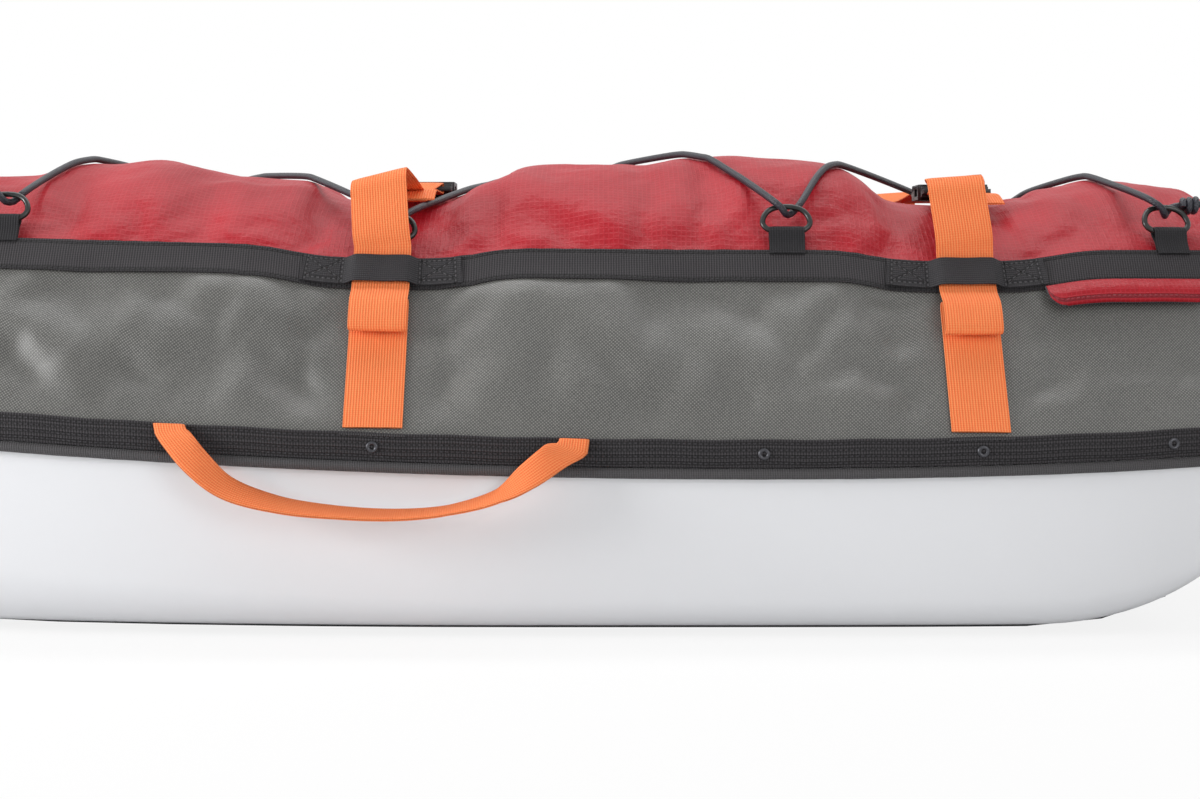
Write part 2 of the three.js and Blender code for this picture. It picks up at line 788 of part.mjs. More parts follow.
function coverEdge(station, side) {
  const corner = side === PORT || station === 0 || station === LAST
    ? OUTLINE[station] : OUTLINE[OUTLINE.length - station];
  const low = trimLow(corner);
  const seam = (1 + low) / 2 + (1 - low) * SEAM / TRIM_WIDTH;
  return [wallCorner(corner, seam, COVER_D), wallCorner(corner, 1, COVER_D)];
}

function coverRow(station) {
  const [portSeam, portTop] = coverEdge(station, PORT);
  const [starboardSeam, starboardTop] = coverEdge(station, STARBOARD);
  const half = starboardTop.y;
  const overlap = Math.min(COVER_OVERLAP / 2, 0.3 * half);
  const dome = (y) => {
    const share = half > WELD ? Math.abs(y) / half : 1;
    return new THREE.Vector3(portTop.x, y, portTop.z + CROWNS[station] * (1 - Math.pow(share, COVER_POWER)));
  };
  const shares = COVER_COLUMN_SHARES.map((share) => share * half);
  return {
    port: [portSeam, portTop, ...shares.map((y) => dome(-y)), dome(-overlap)],
    middle: [dome(-overlap), dome(overlap)],
    starboard: [dome(overlap), ...shares.map((y) => dome(y)).reverse(), starboardTop, starboardSeam],
  };
}

const COVER_ROWS = STATIONS.map((_, station) => coverRow(station));

// Height of the cover's outer face, read on its facets.
function coverHeight(x, y) {
  const flatRows = COVER_ROWS.map(({ port }) => port.slice(1));
  const xs = flatRows.map((row) => row[0].x);
  let cell = 0;
  while (cell < LAST - 1 && xs[cell + 1] < x) cell += 1;
  const share = THREE.MathUtils.clamp((x - xs[cell]) / (xs[cell + 1] - xs[cell]), 0, 1);
  const line = flatRows[cell].map((point, place) => point.clone().lerp(flatRows[cell + 1][place], share));
  const out = Math.abs(y);
  for (let place = 0; place + 1 < line.length; place += 1) {
    const outer = -line[place].y;
    const inner = -line[place + 1].y;
    if (out >= inner) {
      const part = THREE.MathUtils.clamp((outer - out) / (outer - inner), 0, 1);
      return THREE.MathUtils.lerp(line[place].z, line[place + 1].z, part) + COVER_T / 2;
    }
  }
  return line[line.length - 1].z + COVER_T / 2;
}

function buildCover() {
  const capped = (cell) => cell < COVER_CAP_CELLS || cell >= LAST - COVER_CAP_CELLS;
  const half = COVER_T / 2;
  const port = { points: [], faces: [] };
  const append = (target, surface) => {
    const start = target.points.length;
    target.points.push(...surface.points);
    target.faces.push(...surface.faces.map((face) => face.map((corner) => corner + start)));
  };
  for (let cell = 0; cell < LAST; cell += 1) {
    const rows = [COVER_ROWS[cell], COVER_ROWS[cell + 1]];
    append(port, gridSurface(rows.map((row) => row.port)));
    append(port, gridSurface(rows.map((row) => row.middle)));
    if (capped(cell)) append(port, gridSurface(rows.map((row) => row.starboard)));
  }
  addPiece('top_cover_port', thicken(port, half, half), 'cover');
  const lowered = (point) => point.clone().add(new THREE.Vector3(0, 0, -COVER_T - COVER_LAP_GAP));
  const rows = COVER_ROWS.map((row) => [
    ...row.middle.map(lowered), ...row.starboard.slice(1),
  ]);
  const shown = rows.slice(COVER_CAP_CELLS, LAST - COVER_CAP_CELLS + 1);
  const seamed = (row, neighbour) => row.map((point, place) => {
    const share = COVER_SEAM_GAP / point.distanceTo(neighbour[place]);
    return point.clone().lerp(neighbour[place], share);
  });
  const ends = shown.length - 1;
  const trimmed = [seamed(shown[0], shown[1]), ...shown.slice(1, ends), seamed(shown[ends], shown[ends - 1])];
  addPiece('top_cover_starboard', thicken(gridSurface(trimmed), half, half), 'cover');
}

// Rivets: each side's row stands on a thin batten inside the rim.

function rivetFrame(side, x) {
  return rimFrame(side, x, RIVET_DROP, 0, BATTEN_WIDTH);
}

function rivetDrill(frame, radius) {
  const reach = HULL_WALL + BATTEN_T + OVERRUN;
  const drill = bar(radius, -reach, BAND_D + BAND_T + OVERRUN, 6);
  return placed(drill, frame.origin, frame.along, new THREE.Vector3().crossVectors(frame.out, frame.along), frame.out);
}

function rivetPiece(frame) {
  const inner = -HULL_WALL - GAP - BATTEN_T / 2;
  const face = BAND_D + BAND_T + GAP;
  const rivet = turned([
    [0, inner], [RIVET_RADIUS, inner], [RIVET_RADIUS, face], [RIVET_HEAD_RADIUS, face],
    [0.62 * RIVET_HEAD_RADIUS, face + RIVET_HEAD_T], [0.3 * RIVET_HEAD_RADIUS, face + RIVET_HEAD_T],
    [0, face + RIVET_HEAD_T / 2],
  ], RIVET_SIDES).rotateX(Math.PI / 2);
  return placed(rivet, frame.origin, frame.along, new THREE.Vector3().crossVectors(frame.out, frame.along), frame.out);
}

function batten(side, xs) {
  const reach = BATTEN_WIDTH;
  const start = xs[0] - reach;
  const end = xs[xs.length - 1] + reach;
  const places = [start, ...STATIONS.filter((x) => x > start && x < end), end];
  const inner = -HULL_WALL - GAP;
  const rings = places.map((x) => {
    const place = OUTLINE.findIndex((corner) => corner.y * side >= 0 && Math.abs(corner.x - x) < WELD);
    const point = (drop, distance) => {
      if (place >= 0) return rimCorner(OUTLINE[place], drop, distance);
      const frame = rimFrame(side, x, drop, distance, WELD);
      return frame.origin;
    };
    const high = RIVET_DROP - BATTEN_WIDTH / 2;
    const low = RIVET_DROP + BATTEN_WIDTH / 2;
    return [point(high, inner), point(low, inner), point(low, inner - BATTEN_T), point(high, inner - BATTEN_T)];
  });
  return loft(rings);
}

// Straps

function strapWall(side, strap, folded) {
  const slope = wallFrame(side, strap.x, 0.5).slope;
  const low = STRAP_REST_D;
  const top = slope - TRIM_WIDTH - FOLD_DROP;
  const foot = top - FOLD_LENGTH;
  const turn = FOLD_TURN;
  const second = low + 2 * turn;
  const front = second + 2 * FOLD_BULGE;
  const plain = [[STRAP_START, low], [slope * 0.75, low]];
  const fold = [
    [STRAP_START, low], [top, low],
    [top + 0.7 * turn, low + 0.3 * turn], [top + turn, low + turn],
    [top + 0.7 * turn, low + 1.7 * turn], [top, second],
    [foot, second],
    [foot - 0.7 * FOLD_BULGE, second + 0.3 * FOLD_BULGE],
    [foot - FOLD_BULGE, second + FOLD_BULGE],
    [foot - 0.7 * FOLD_BULGE, second + 1.7 * FOLD_BULGE],
    [foot, front], [foot + FOLD_LENGTH / 2, front + turn / 4], [top - turn, front - turn / 4],
  ];
  const last = slope - TRIM_WIDTH - STRAP_RISE / 2;
  const leave = [[last, STRAP_TRIM_D], [slope + STRAP_RISE / 2, STRAP_TRIM_D], [slope + 2 * STRAP_RISE, STRAP_TOP_D]];
  return [...(folded ? fold : plain), ...leave].map(([up, out]) => {
    const frame = wallFrame(side, strap.x, Math.min(up / slope, 1));
    return { point: at(frame, 0, Math.max(up - slope, 0), out), width: frame.along };
  });
}

function buckleHeight(strap) {
  const middle = strap.x + strap.buckleShift;
  const spots = [-1, -0.5, 0, 0.5, 1].flatMap((x) => [-1, 0, 1].map((y) => (
    coverHeight(middle + x * BUCKLE_WIDTH / 2, y * BAR_Y))));
  return Math.max(...spots) + BUCKLE_LIFT + BUCKLE_T / 2;
}

function strapTop(side, strap, folded) {
  const centre = buckleHeight(strap);
  const peak = between(TRIMS, strap.x) + ARCH_RISE;
  const over = BAR_T / 2 + GAP + STRAP_T;
  const middle = strap.x + strap.buckleShift;
  const lean = strap.x + ARCH_LEAN;
  const trimY = Math.abs(sideAt(side, strap.x, 1).y);
  const archY = trimY - ARCH_INSET;
  const round = ARCH_ROUND;
  const tilted = new THREE.Vector3(Math.cos(strap.tilt), 0, Math.sin(strap.tilt));
  const half = new THREE.Vector3(Math.cos(strap.tilt / 2), 0, Math.sin(strap.tilt / 2));
  const level = new THREE.Vector3(1, 0, 0);
  const turn = BAR_WIDTH / 2 + STRAP_T + GAP;
  const high = centre + over;
  const path = [
    [archY + 2.35 * round, peak - 5.2 * round, lean, half],
    [archY + round, peak - 2 * round, lean, tilted],
    [archY + 0.45 * round, peak - 0.75 * round, lean, tilted],
    [archY - 0.3 * round, peak - 0.15 * round, lean, tilted],
    [archY - 1.3 * round, peak, lean, tilted],
    [archY * 0.82, high - 0.3 * STRAP_SAG, (3 * lean + middle) / 4, half],
    [archY * 0.55, high - STRAP_SAG, (lean + middle) / 2, level],
    [BAR_Y + turn, high, middle, level],
    [BAR_Y - 0.6 * turn, high, middle, level],
    [BAR_Y - turn, centre + 0.62 * over, middle, level],
    [BAR_Y - turn, centre - 0.62 * over, middle, level],
    [BAR_Y - 0.6 * turn, centre - over, middle, level],
    [BAR_Y + turn, centre - over, middle, level],
  ];
  if (folded) {
    for (const share of [0.45, 0.62, 0.82, 1]) {
      const out = (trimY - TAIL_INSET) * share;
      const cloth = Math.max(...[-0.5, 0, 0.5].map((place) => (
        coverHeight(middle + place * STRAP_WIDTH, out))));
      path.push([out, Math.min(cloth + TAIL_LIFT, centre - over), middle, level]);
    }
  } else {
    path.push([BAR_Y + 2.4 * turn, centre - over, middle, level]);
  }
  return path.map(([out, z, x, width]) => ({ point: new THREE.Vector3(x, side * out, z), width }));
}

function strapHalf(side, strap, folded) {
  const places = [...strapWall(side, strap, folded), ...strapTop(side, strap, folded)];
  return ribbon(places.map(({ point }) => point), places.map(({ width }) => width), STRAP_WIDTH, STRAP_T);
}

function keeper(side, strap) {
  const raised = STRAP_TRIM_D + STRAP_T / 2 + KEEPER_LIFT + KEEPER_T / 2;
  const flat = TRIM_D + TRIM_T + GAP + KEEPER_T / 2;
  const open = STRAP_WIDTH / 2 + 4 * GAP + KEEPER_T / 2;
  const end = KEEPER_LENGTH / 2;
  const profile = [
    [-end, flat], [-STRAP_WIDTH, flat], [-open - KEEPER_T, flat], [-open, raised - KEEPER_T / 2],
    [-open + KEEPER_T, raised], [0, raised], [open - KEEPER_T, raised],
    [open, raised - KEEPER_T / 2], [open + KEEPER_T, flat], [STRAP_WIDTH, flat], [end, flat],
  ];
  const slope = wallFrame(side, strap.x, 0.5).slope;
  const height = 1 - TRIM_WIDTH / 2 / slope;
  const places = profile.map(([along, out]) => {
    const frame = wallFrame(side, strap.x + along, height, KEEPER_T);
    return { point: at(frame, 0, 0, out), width: frame.up };
  });
  return ribbon(places.map(({ point }) => point), places.map(({ width }) => width), KEEPER_WIDTH, KEEPER_T);
}

// Buckles lie across the hull: x is their width, and the tongue enters from port.

function buckleSocket() {
  const wide = BUCKLE_WIDTH / 2;
  const mouth = -SOCKET_MOUTH_Y;
  const shoulder = BAR_Y - BAR_WIDTH / 2 - SLOT_WIDTH;
  const end = BAR_Y + BAR_WIDTH / 2;
  const outline = new THREE.Shape();
  outline.moveTo(-wide + CORNER, mouth);
  outline.lineTo(wide - CORNER, mouth);
  outline.quadraticCurveTo(wide, mouth, wide, mouth + CORNER);
  outline.lineTo(wide, shoulder - CORNER);
  outline.lineTo(FRAME_WIDTH / 2, shoulder);
  outline.lineTo(FRAME_WIDTH / 2, end);
  outline.lineTo(-FRAME_WIDTH / 2, end);
  outline.lineTo(-FRAME_WIDTH / 2, shoulder);
  outline.lineTo(-wide, shoulder - CORNER);
  outline.lineTo(-wide, mouth + CORNER);
  outline.quadraticCurveTo(-wide, mouth, -wide + CORNER, mouth);
  const half = BUCKLE_T / 2;
  const cavity = wide - BUCKLE_WALL;
  const deep = mouth + PRONG_LENGTH + RUNNING_GAP + 1;
  const room = PRONG_T / 2 + RUNNING_GAP;
  const far = wide + OVERRUN;
  const slot = SLOT_LENGTH / 2;
  const windowStart = mouth + PRONG_LENGTH / 3;
  return cut(slab(outline, -half, half), [
    block(-cavity, mouth - OVERRUN, -room, cavity, deep, room),
    block(-far, windowStart, -room, far, windowStart + WINDOW_LENGTH, room),
    block(-slot, shoulder, -half - OVERRUN, slot, end - BAR_WIDTH, half + OVERRUN),
    block(-far, shoulder - CORNER, BAR_T / 2, far, end + OVERRUN, half + OVERRUN),
    block(-far, shoulder - CORNER, -half - OVERRUN, far, end + OVERRUN, -BAR_T / 2),
  ]);
}

function buckleTongue() {
  const shoulder = -(BAR_Y - BAR_WIDTH / 2 - SLOT_WIDTH);
  const mouth = -SOCKET_MOUTH_Y - RUNNING_GAP;
  const end = -(BAR_Y + BAR_WIDTH / 2);
  const frame = FRAME_WIDTH / 2;
  const reach = mouth + PRONG_LENGTH;
  const outside = BUCKLE_WIDTH / 2 - BUCKLE_WALL - RUNNING_GAP;
  const guide = GUIDE_WIDTH / 2;
  const slot = SLOT_LENGTH / 2;
  const plate = rectangle(-frame, end, frame, mouth);
  plate.holes.push(new THREE.Path(rectangle(-slot, end + BAR_WIDTH, slot, shoulder).getPoints().reverse()));
  const half = PRONG_T / 2;
  const prong = (x0, x1, tip) => block(x0, mouth - OVERRUN, -half, x1, tip, half);
  return join([
    slab(plate, -BAR_T / 2, BAR_T / 2),
    block(-frame, shoulder + GAP, -BUCKLE_T / 3, frame, mouth, BUCKLE_T / 3),
    prong(-guide, guide, reach - BUCKLE_WALL),
    prong(-outside, -outside + ARM_WIDTH, reach),
    prong(outside - ARM_WIDTH, outside, reach),
  ]);
}

// D-rings on their tabs. The ring's straight side is its hinge bar, inside the tab's fold.

function tabFrame(side, x) {
  const wall = wallFrame(side, x, 1, TAB_WIDTH / 2);
  const foot = at(wall, 0, 0, GAP + COVER_T + 2 * GAP + TAB_T + GAP / 2);
  const along = wall.along.clone().setZ(0).normalize();
  const outward = new THREE.Vector3().crossVectors(along, UP).multiplyScalar(-side);
  const up = UP.clone().multiplyScalar(Math.cos(RING_LEAN)).addScaledVector(outward, -Math.sin(RING_LEAN));
  const out = new THREE.Vector3().crossVectors(along, up).multiplyScalar(-side);
  return { origin: foot, along, up, out };
}

function tab(frame) {
  const turn = RING_WIRE + GAP + TAB_T / 2;
  const foot = TAB_T / 2 + GAP / 2;
  const path = [[GAP + TAB_T, -foot], [TAB_HEIGHT * 0.45, -foot]];
  for (let step = 0; step <= TAB_TURN_STEPS; step += 1) {
    const angle = Math.PI * (step / TAB_TURN_STEPS);
    const swell = 1 / Math.cos(Math.PI / 2 / TAB_TURN_STEPS);
    path.push([TAB_HEIGHT + turn * swell * Math.sin(angle), -turn * swell * Math.cos(angle)]);
  }
  path.push([TAB_HEIGHT * 0.45, foot], [GAP + TAB_T, foot]);
  return ribbon(path.map(([up, out]) => at(frame, 0, up, out)), path.map(() => frame.along), TAB_WIDTH, TAB_T);
}

function dRing(frame) {
  const half = RING_WIDTH / 2 - RING_WIRE;
  const corner = 2 * RING_WIRE;
  const path = [[-half + corner, 0], [half - corner, 0]];
  for (let step = 0; step <= RING_ARC_STEPS; step += 1) {
    const angle = Math.PI * step / RING_ARC_STEPS;
    const rise = Math.pow(Math.sin(angle), 0.8) * (RING_HEIGHT - corner);
    path.push([half * Math.sign(Math.cos(angle)) * Math.pow(Math.abs(Math.cos(angle)), 0.8), corner + rise]);
  }
  const points = path.map(([along, up]) => at(frame, along, TAB_HEIGHT + up, 0));
  return tube(points, RING_WIRE, RING_SIDES, true);
}

// The lashing cord crosses the cover from ring to ring and goes round each ring's top wire.

function cordWrap(frame, leg) {
  const top = TAB_HEIGHT + RING_HEIGHT;
  const clear = RING_WIRE + CORD_RADIUS + RUNNING_GAP;
  const points = [[-1.9, 0.5, 0.9], [-0.8, -0.65, 1.02], [0, -1.25, 0], [0.8, -0.65, -1.02], [1.9, 0.5, -0.9]];
  return points.map(([along, up, out]) => at(frame, leg * along * clear, top + up * clear, out * clear));
}

// A taut line between two rings: straight where it can be, and over the cover where it must be.
function cordSpan(from, to) {
  const taut = [];
  for (let step = 0; step <= CORD_SAMPLES; step += 1) {
    const share = step / CORD_SAMPLES;
    const point = from.clone().lerp(to, share);
    const cloth = coverHeight(point.x, point.y) + CORD_RADIUS + CORD_LIFT;
    const free = step > 0 && step < CORD_SAMPLES;
    const next = { share, point: point.setZ(free ? Math.max(point.z, cloth) : point.z) };
    while (taut.length > 1) {
      const [before, here] = taut.slice(-2);
      const rise = (here.point.z - before.point.z) * (next.share - before.share);
      if (rise > (next.point.z - before.point.z) * (here.share - before.share)) break;
      taut.pop();
    }
    taut.push(next);
  }
  const kept = [];
  let last = from;
  for (const { point } of taut.slice(1, -1)) {
    if (point.distanceTo(last) > CORD_PITCH && point.distanceTo(to) > CORD_PITCH) {
      kept.push(point);
      last = point;
    }
  }
  return kept;
}

function lashingCord(rings) {
  const wraps = rings.map(({ frame }) => cordWrap(frame, 1));
  const first = wraps[0][0].clone().add(new THREE.Vector3(-CORD_TAIL, 0, CORD_RADIUS));
  const last = wraps[wraps.length - 1];
  const end = last[last.length - 1].clone().add(new THREE.Vector3(CORD_TAIL / 2, 0, CORD_TAIL / 2));
  const path = [first];
  wraps.forEach((wrap, place) => {
    path.push(...wrap);
    if (place + 1 < wraps.length) {
      path.push(...cordSpan(wrap[wrap.length - 1], wraps[place + 1][0]));
    }
  });
  path.push(end);
  return tube(path, CORD_RADIUS, CORD_SIDES);
}

// Carry handles

function handleLine(side) {
  const ends = [-1, 1].map((end) => {
    const x = end * HANDLE_SPAN / 2;
    return new THREE.Vector3(x, side * between(HALF_BREADTHS, x), between(RIMS, x) - GAP);
  });
  const seat = BAND_D + BAND_T + GAP + HANDLE_T / 2;
  return ends.map((end) => end.add(new THREE.Vector3(0, side * seat, 0)));
}

function handle(side) {
  const [start, end] = handleLine(side);
  const outward = new THREE.Vector3(0, side, 0);
  const spine = new THREE.CatmullRomCurve3(HANDLE_X_SHARES.map((share, place) => {
    const drop = HANDLE_DROP_SHARES[place];
    const point = start.clone().lerp(end, (share + 1) / 2);
    point.z -= HANDLE_SAG * drop;
    return point.addScaledVector(outward, HANDLE_STAND * Math.min(1, drop / HANDLE_STAND_SHARE));
  }), false, 'centripetal');
  const cells = HANDLE_X_SHARES.length - 1;
  const steps = Array.from({ length: HANDLE_STEPS + 1 }, (_, step) => spine.getUtoTmapping(step / HANDLE_STEPS));
  const path = steps.map((step) => spine.getPoint(step));
  const line = end.clone().sub(start).normalize();
  const sections = steps.map((step, place) => {
    const cell = Math.min(Math.floor(step * cells), cells - 1);
    const share = THREE.MathUtils.lerp(HANDLE_TWIST_SHARES[cell], HANDLE_TWIST_SHARES[cell + 1], step * cells - cell);
    const tangent = tangentAt(path, place, false);
    const turned = new THREE.Vector3().crossVectors(outward, tangent).normalize()
      .multiplyScalar(-side * Math.cos(HANDLE_TWIST * share))
      .addScaledVector(outward, -Math.sin(HANDLE_TWIST * share));
    // Towards its ends the webbing is cut along the line that it swings about
    const flush = line.clone().multiplyScalar(Math.sign(line.dot(turned)));
    const lean = flush.dot(tangent);
    const level = Math.max(0, 1 - Math.min(place, HANDLE_STEPS - place) / HANDLE_LEVEL_STEPS);
    return { width: turned.lerp(flush, level), slant: level * lean / Math.sqrt(1 - lean * lean) };
  });
  return { path, widths: sections.map(({ width }) => width), slants: sections.map(({ slant }) => slant) };
}

// Pocket flap, zip and slider

function pocketFlap() {
  const [start, end] = FLAP_SHARES.map((share) => share * LENGTH);
  const rings = [];
  for (let step = 0; step <= FLAP_STEPS; step += 1) {
    const x = THREE.MathUtils.lerp(start, end, step / FLAP_STEPS);
    const slope = wallFrame(PORT, x, 0.5).slope;
    const top = slope - TRIM_WIDTH - 2 * GAP;
    const rows = [[top, FLAP_TOP_D], [top - FLAP_HEIGHT / 2, FLAP_TOP_D + FLAP_BELLY],
      [top - FLAP_HEIGHT, FLAP_TOP_D + FLAP_BELLY / 2]];
    const point = ([up, out], extra) => at(wallFrame(PORT, x, up / slope, STRAP_WIDTH), 0, 0, out + extra);
    rings.push([
      ...rows.map((row) => point(row, FLAP_T / 2)),
      ...rows.map((row) => point(row, -FLAP_T / 2)).reverse(),
    ]);
  }
  return loft(rings);
}

function zipFrame() {
  const [start, end] = ZIP_SHARES.map((share) => share * LENGTH);
  const middle = (start + end) / 2;
  const slope = wallFrame(PORT, middle, 0.5).slope;
  const height = 1 - (TRIM_WIDTH + ZIP_DROP) / slope;
  const frame = wallFrame(PORT, middle, height, (end - start) / 2);
  const lift = Math.max(...[0, 0.25, 0.5, 0.75, 1].map((share) => {
    const point = sideAt(PORT, THREE.MathUtils.lerp(start, end, share), height);
    return point.sub(frame.origin).dot(frame.out);
  }));
  frame.origin.addScaledVector(frame.out, lift + GAP + CLOTH + 2 * GAP);
  return { frame, half: (end - start) / 2 };
}

function zipPiece(geometry, { frame }) {
  return placed(geometry, frame.origin, frame.along, frame.up, frame.out);
}

function buildPocket() {
  addPiece('pocket_flap', pocketFlap(), 'cover');
  const zip = zipFrame();
  const { half } = zip;
  const tape = block(-half, -ZIP_TAPE_WIDTH / 2, 0, half, ZIP_TAPE_WIDTH / 2, ZIP_TAPE_T);
  const coil = block(-half, -COIL_WIDTH / 2, ZIP_TAPE_T / 2, half, COIL_WIDTH / 2, ZIP_TAPE_T + COIL_T);
  addPiece('pocket_zip', zipPiece(join([tape, coil]), zip), 'webbing');
  const clear = GAP;
  const top = ZIP_TAPE_T + COIL_T + clear;
  const low = ZIP_TAPE_T + clear;
  const inner = COIL_WIDTH / 2 + clear;
  const start = -half + SLIDER_LENGTH / 2;
  const body = block(start, -SLIDER_WIDTH / 2, low, start + SLIDER_LENGTH, SLIDER_WIDTH / 2, top + SLIDER_T);
  const channel = block(start - OVERRUN, -inner, low - OVERRUN, start + SLIDER_LENGTH + OVERRUN, inner, top);
  addPiece('zip_slider', zipPiece(cut(body, [channel]), zip), 'steel');
}

// Tow clevises: x runs out of the hull, y towards the stern and z up.

function towFrame(side) {
  const x = TOW_SHARE * LENGTH;
  const frame = rimFrame(side, x, BAND_HEIGHT / 2, BAND_D + BAND_T + CLEVIS_STAND, CLEVIS_LENGTH / 2);
  return { origin: frame.origin, x: frame.out, y: frame.along };
}

function towPlaced(geometry, frame) {
  const z = new THREE.Vector3().crossVectors(frame.x, frame.y);
  return placed(geometry, frame.origin, frame.x, frame.y, z);
}

function crossBar(radius, from, to, y, sides) {
  return bar(radius, from, to, sides).rotateY(Math.PI / 2).translate(0, y, 0);
}

// Distance from the clevis to the inner face of the rivet batten, where its nuts stand.
const CLEVIS_REACH = CLEVIS_STAND + BAND_T + BAND_D + HULL_WALL + GAP + BATTEN_T + 4 * GAP;

function boltDrills(frame) {
  return BOLT_SHARES.map((share) => towPlaced(
    crossBar(BOLT_RADIUS + RUNNING_GAP, -CLEVIS_REACH - OVERRUN, 0, -share * CLEVIS_LENGTH, 6), frame));
}

function towClevis(frame) {
  const half = CLEVIS_HEIGHT / 2;
  const long = CLEVIS_LENGTH / 2;
  const inner = CLEVIS_PLATE;
  const outer = CLEVIS_DEPTH - CLEVIS_PLATE;
  const channel = new THREE.Shape([[0, -long], [inner, -long], [inner, long - CLEVIS_PLATE],
    [outer, long - CLEVIS_PLATE], [outer, -long], [CLEVIS_DEPTH, -long], [CLEVIS_DEPTH, long - CORNER],
    [CLEVIS_DEPTH - CORNER, long], [0, long]].map(([x, y]) => new THREE.Vector2(x, y)));
  const inside = -CLEVIS_REACH;
  const bolts = BOLT_SHARES.flatMap((share) => {
    const y = -share * CLEVIS_LENGTH;
    return [
      crossBar(BOLT_RADIUS, inside - BOLT_HEAD_T, inner + PROBE, y, RIVET_SIDES),
      crossBar(BOLT_HEAD_RADIUS, inner - PROBE, inner + BOLT_HEAD_T, y, RIVET_SIDES),
      crossBar(BOLT_HEAD_RADIUS, inside - BOLT_HEAD_T, inside, y, 6),
    ];
  });
  const pinHole = crossBar(PIN_RADIUS + RUNNING_GAP, -OVERRUN, CLEVIS_DEPTH + OVERRUN,
    -PIN_SHARE * CLEVIS_LENGTH, 12);
  return towPlaced(cut(join([slab(channel, -half, half), ...bolts]), [pinHole]), frame);
}

function towPin(frame) {
  const face = CLEVIS_DEPTH + GAP;
  const boss = face + PIN_HEAD_T + PIN_BOSS_LENGTH;
  const profile = turned([
    [0, GAP], [PIN_RADIUS - GAP, GAP], [PIN_RADIUS, 2 * GAP], [PIN_RADIUS, face], [PIN_HEAD_RADIUS, face],
    [PIN_HEAD_RADIUS, face + PIN_HEAD_T], [PIN_BOSS_RADIUS, face + PIN_HEAD_T], [PIN_BOSS_RADIUS, boss], [0, boss],
  ], 10).rotateX(Math.PI / 2).rotateY(Math.PI / 2);
  const hole = bar(PULL_HOLE_RADIUS, -PIN_BOSS_RADIUS - OVERRUN, PIN_BOSS_RADIUS + OVERRUN, 8)
    .rotateX(Math.PI / 2).translate(boss - PIN_BOSS_LENGTH / 2, 0, 0);
  return towPlaced(cut(profile, [hole]).translate(0, -PIN_SHARE * CLEVIS_LENGTH, 0), frame);
}

function pullRing(frame) {
  const steps = 16;
  const centre = CLEVIS_DEPTH + GAP + PIN_HEAD_T + PIN_BOSS_LENGTH / 2;
  const drop = PULL_RING_RADIUS - PULL_RING_WIRE / 2;
  const path = Array.from({ length: steps }, (_, step) => {
    const angle = 2 * Math.PI * (step + 0.5) / steps;
    return frame.origin.clone()
      .addScaledVector(frame.x, centre)
      .addScaledVector(frame.y, PULL_RING_RADIUS * Math.sin(angle) - PIN_SHARE * CLEVIS_LENGTH)
      .addScaledVector(UP, PULL_RING_RADIUS * Math.cos(angle) - drop);
  });
  return tube(path, PULL_RING_WIRE, 5, true);
}

// Assembly

const SIDES = [['port', PORT], ['starboard', STARBOARD]];
const rivetXs = RIVET_SHARES.map((share) => share * LENGTH);
const drills = SIDES.flatMap(([, side]) => [
  ...rivetXs.map((x) => rivetDrill(rivetFrame(side, x), RIVET_RADIUS + RUNNING_GAP)),
  ...boltDrills(towFrame(side)),
]);

addPiece('hull_shell', cut(hullShell(), drills), 'hull');
buildBottom();
buildWall(drills);
buildCover();

for (const [name, side] of SIDES) {
  const frames = rivetXs.map((x) => rivetFrame(side, x));
  const tow = towFrame(side);
  const strip = join([batten(side, rivetXs), ...frames.map(rivetPiece)]);
  addPiece(`rivet_strip_${name}`, cut(strip, boltDrills(tow)), 'buckle');
  for (const strap of STRAPS) {
    addPiece(`strap_${strap.name}_${name}`, strapHalf(side, strap, side === PORT), 'strap');
    addPiece(`keeper_${strap.name}_${name}`, keeper(side, strap), 'webbing');
  }
  const { path, widths, slants } = handle(side);
  addPiece(`handle_${name}`, ribbon(path, widths, HANDLE_WIDTH, HANDLE_T, slants), 'strap');
  addPiece(`tow_clevis_${name}`, towClevis(tow), 'bracket');
  addPiece(`tow_pin_${name}`, towPin(tow), 'steel');
  addPiece(`pull_ring_${name}`, pullRing(tow), 'steel');
}

for (const strap of STRAPS) {
  const spot = [strap.x + strap.buckleShift, 0, buckleHeight(strap)];
  addPiece(`buckle_socket_${strap.name}`, buckleSocket(), 'buckle').position.set(...spot);
  addPiece(`buckle_tongue_${strap.name}`, buckleTongue(), 'buckle').position.set(...spot);
}

const rings = [
  ...PORT_RING_SHARES.map((share) => ({ x: share * LENGTH, side: PORT })),
  ...STARBOARD_RING_SHARES.map((share) => ({ x: share * LENGTH, side: STARBOARD })),
].sort((one, other) => one.x - other.x).map((ring, place) => (
  { ...ring, frame: tabFrame(ring.side, ring.x), name: `${place + 1}` }));
for (const ring of rings) {
  addPiece(`ring_tab_${ring.name}`, tab(ring.frame), 'webbing');
  addPiece(`d_ring_${ring.name}`, dRing(ring.frame), 'wire');
}
addPiece('lashing_cord', lashingCord(rings), 'cord');
buildPocket();

export default pulk;
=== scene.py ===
import itertools
import math

import bpy
import numpy
from mathutils import Matrix, Vector, noise
from mathutils.bvhtree import BVHTree


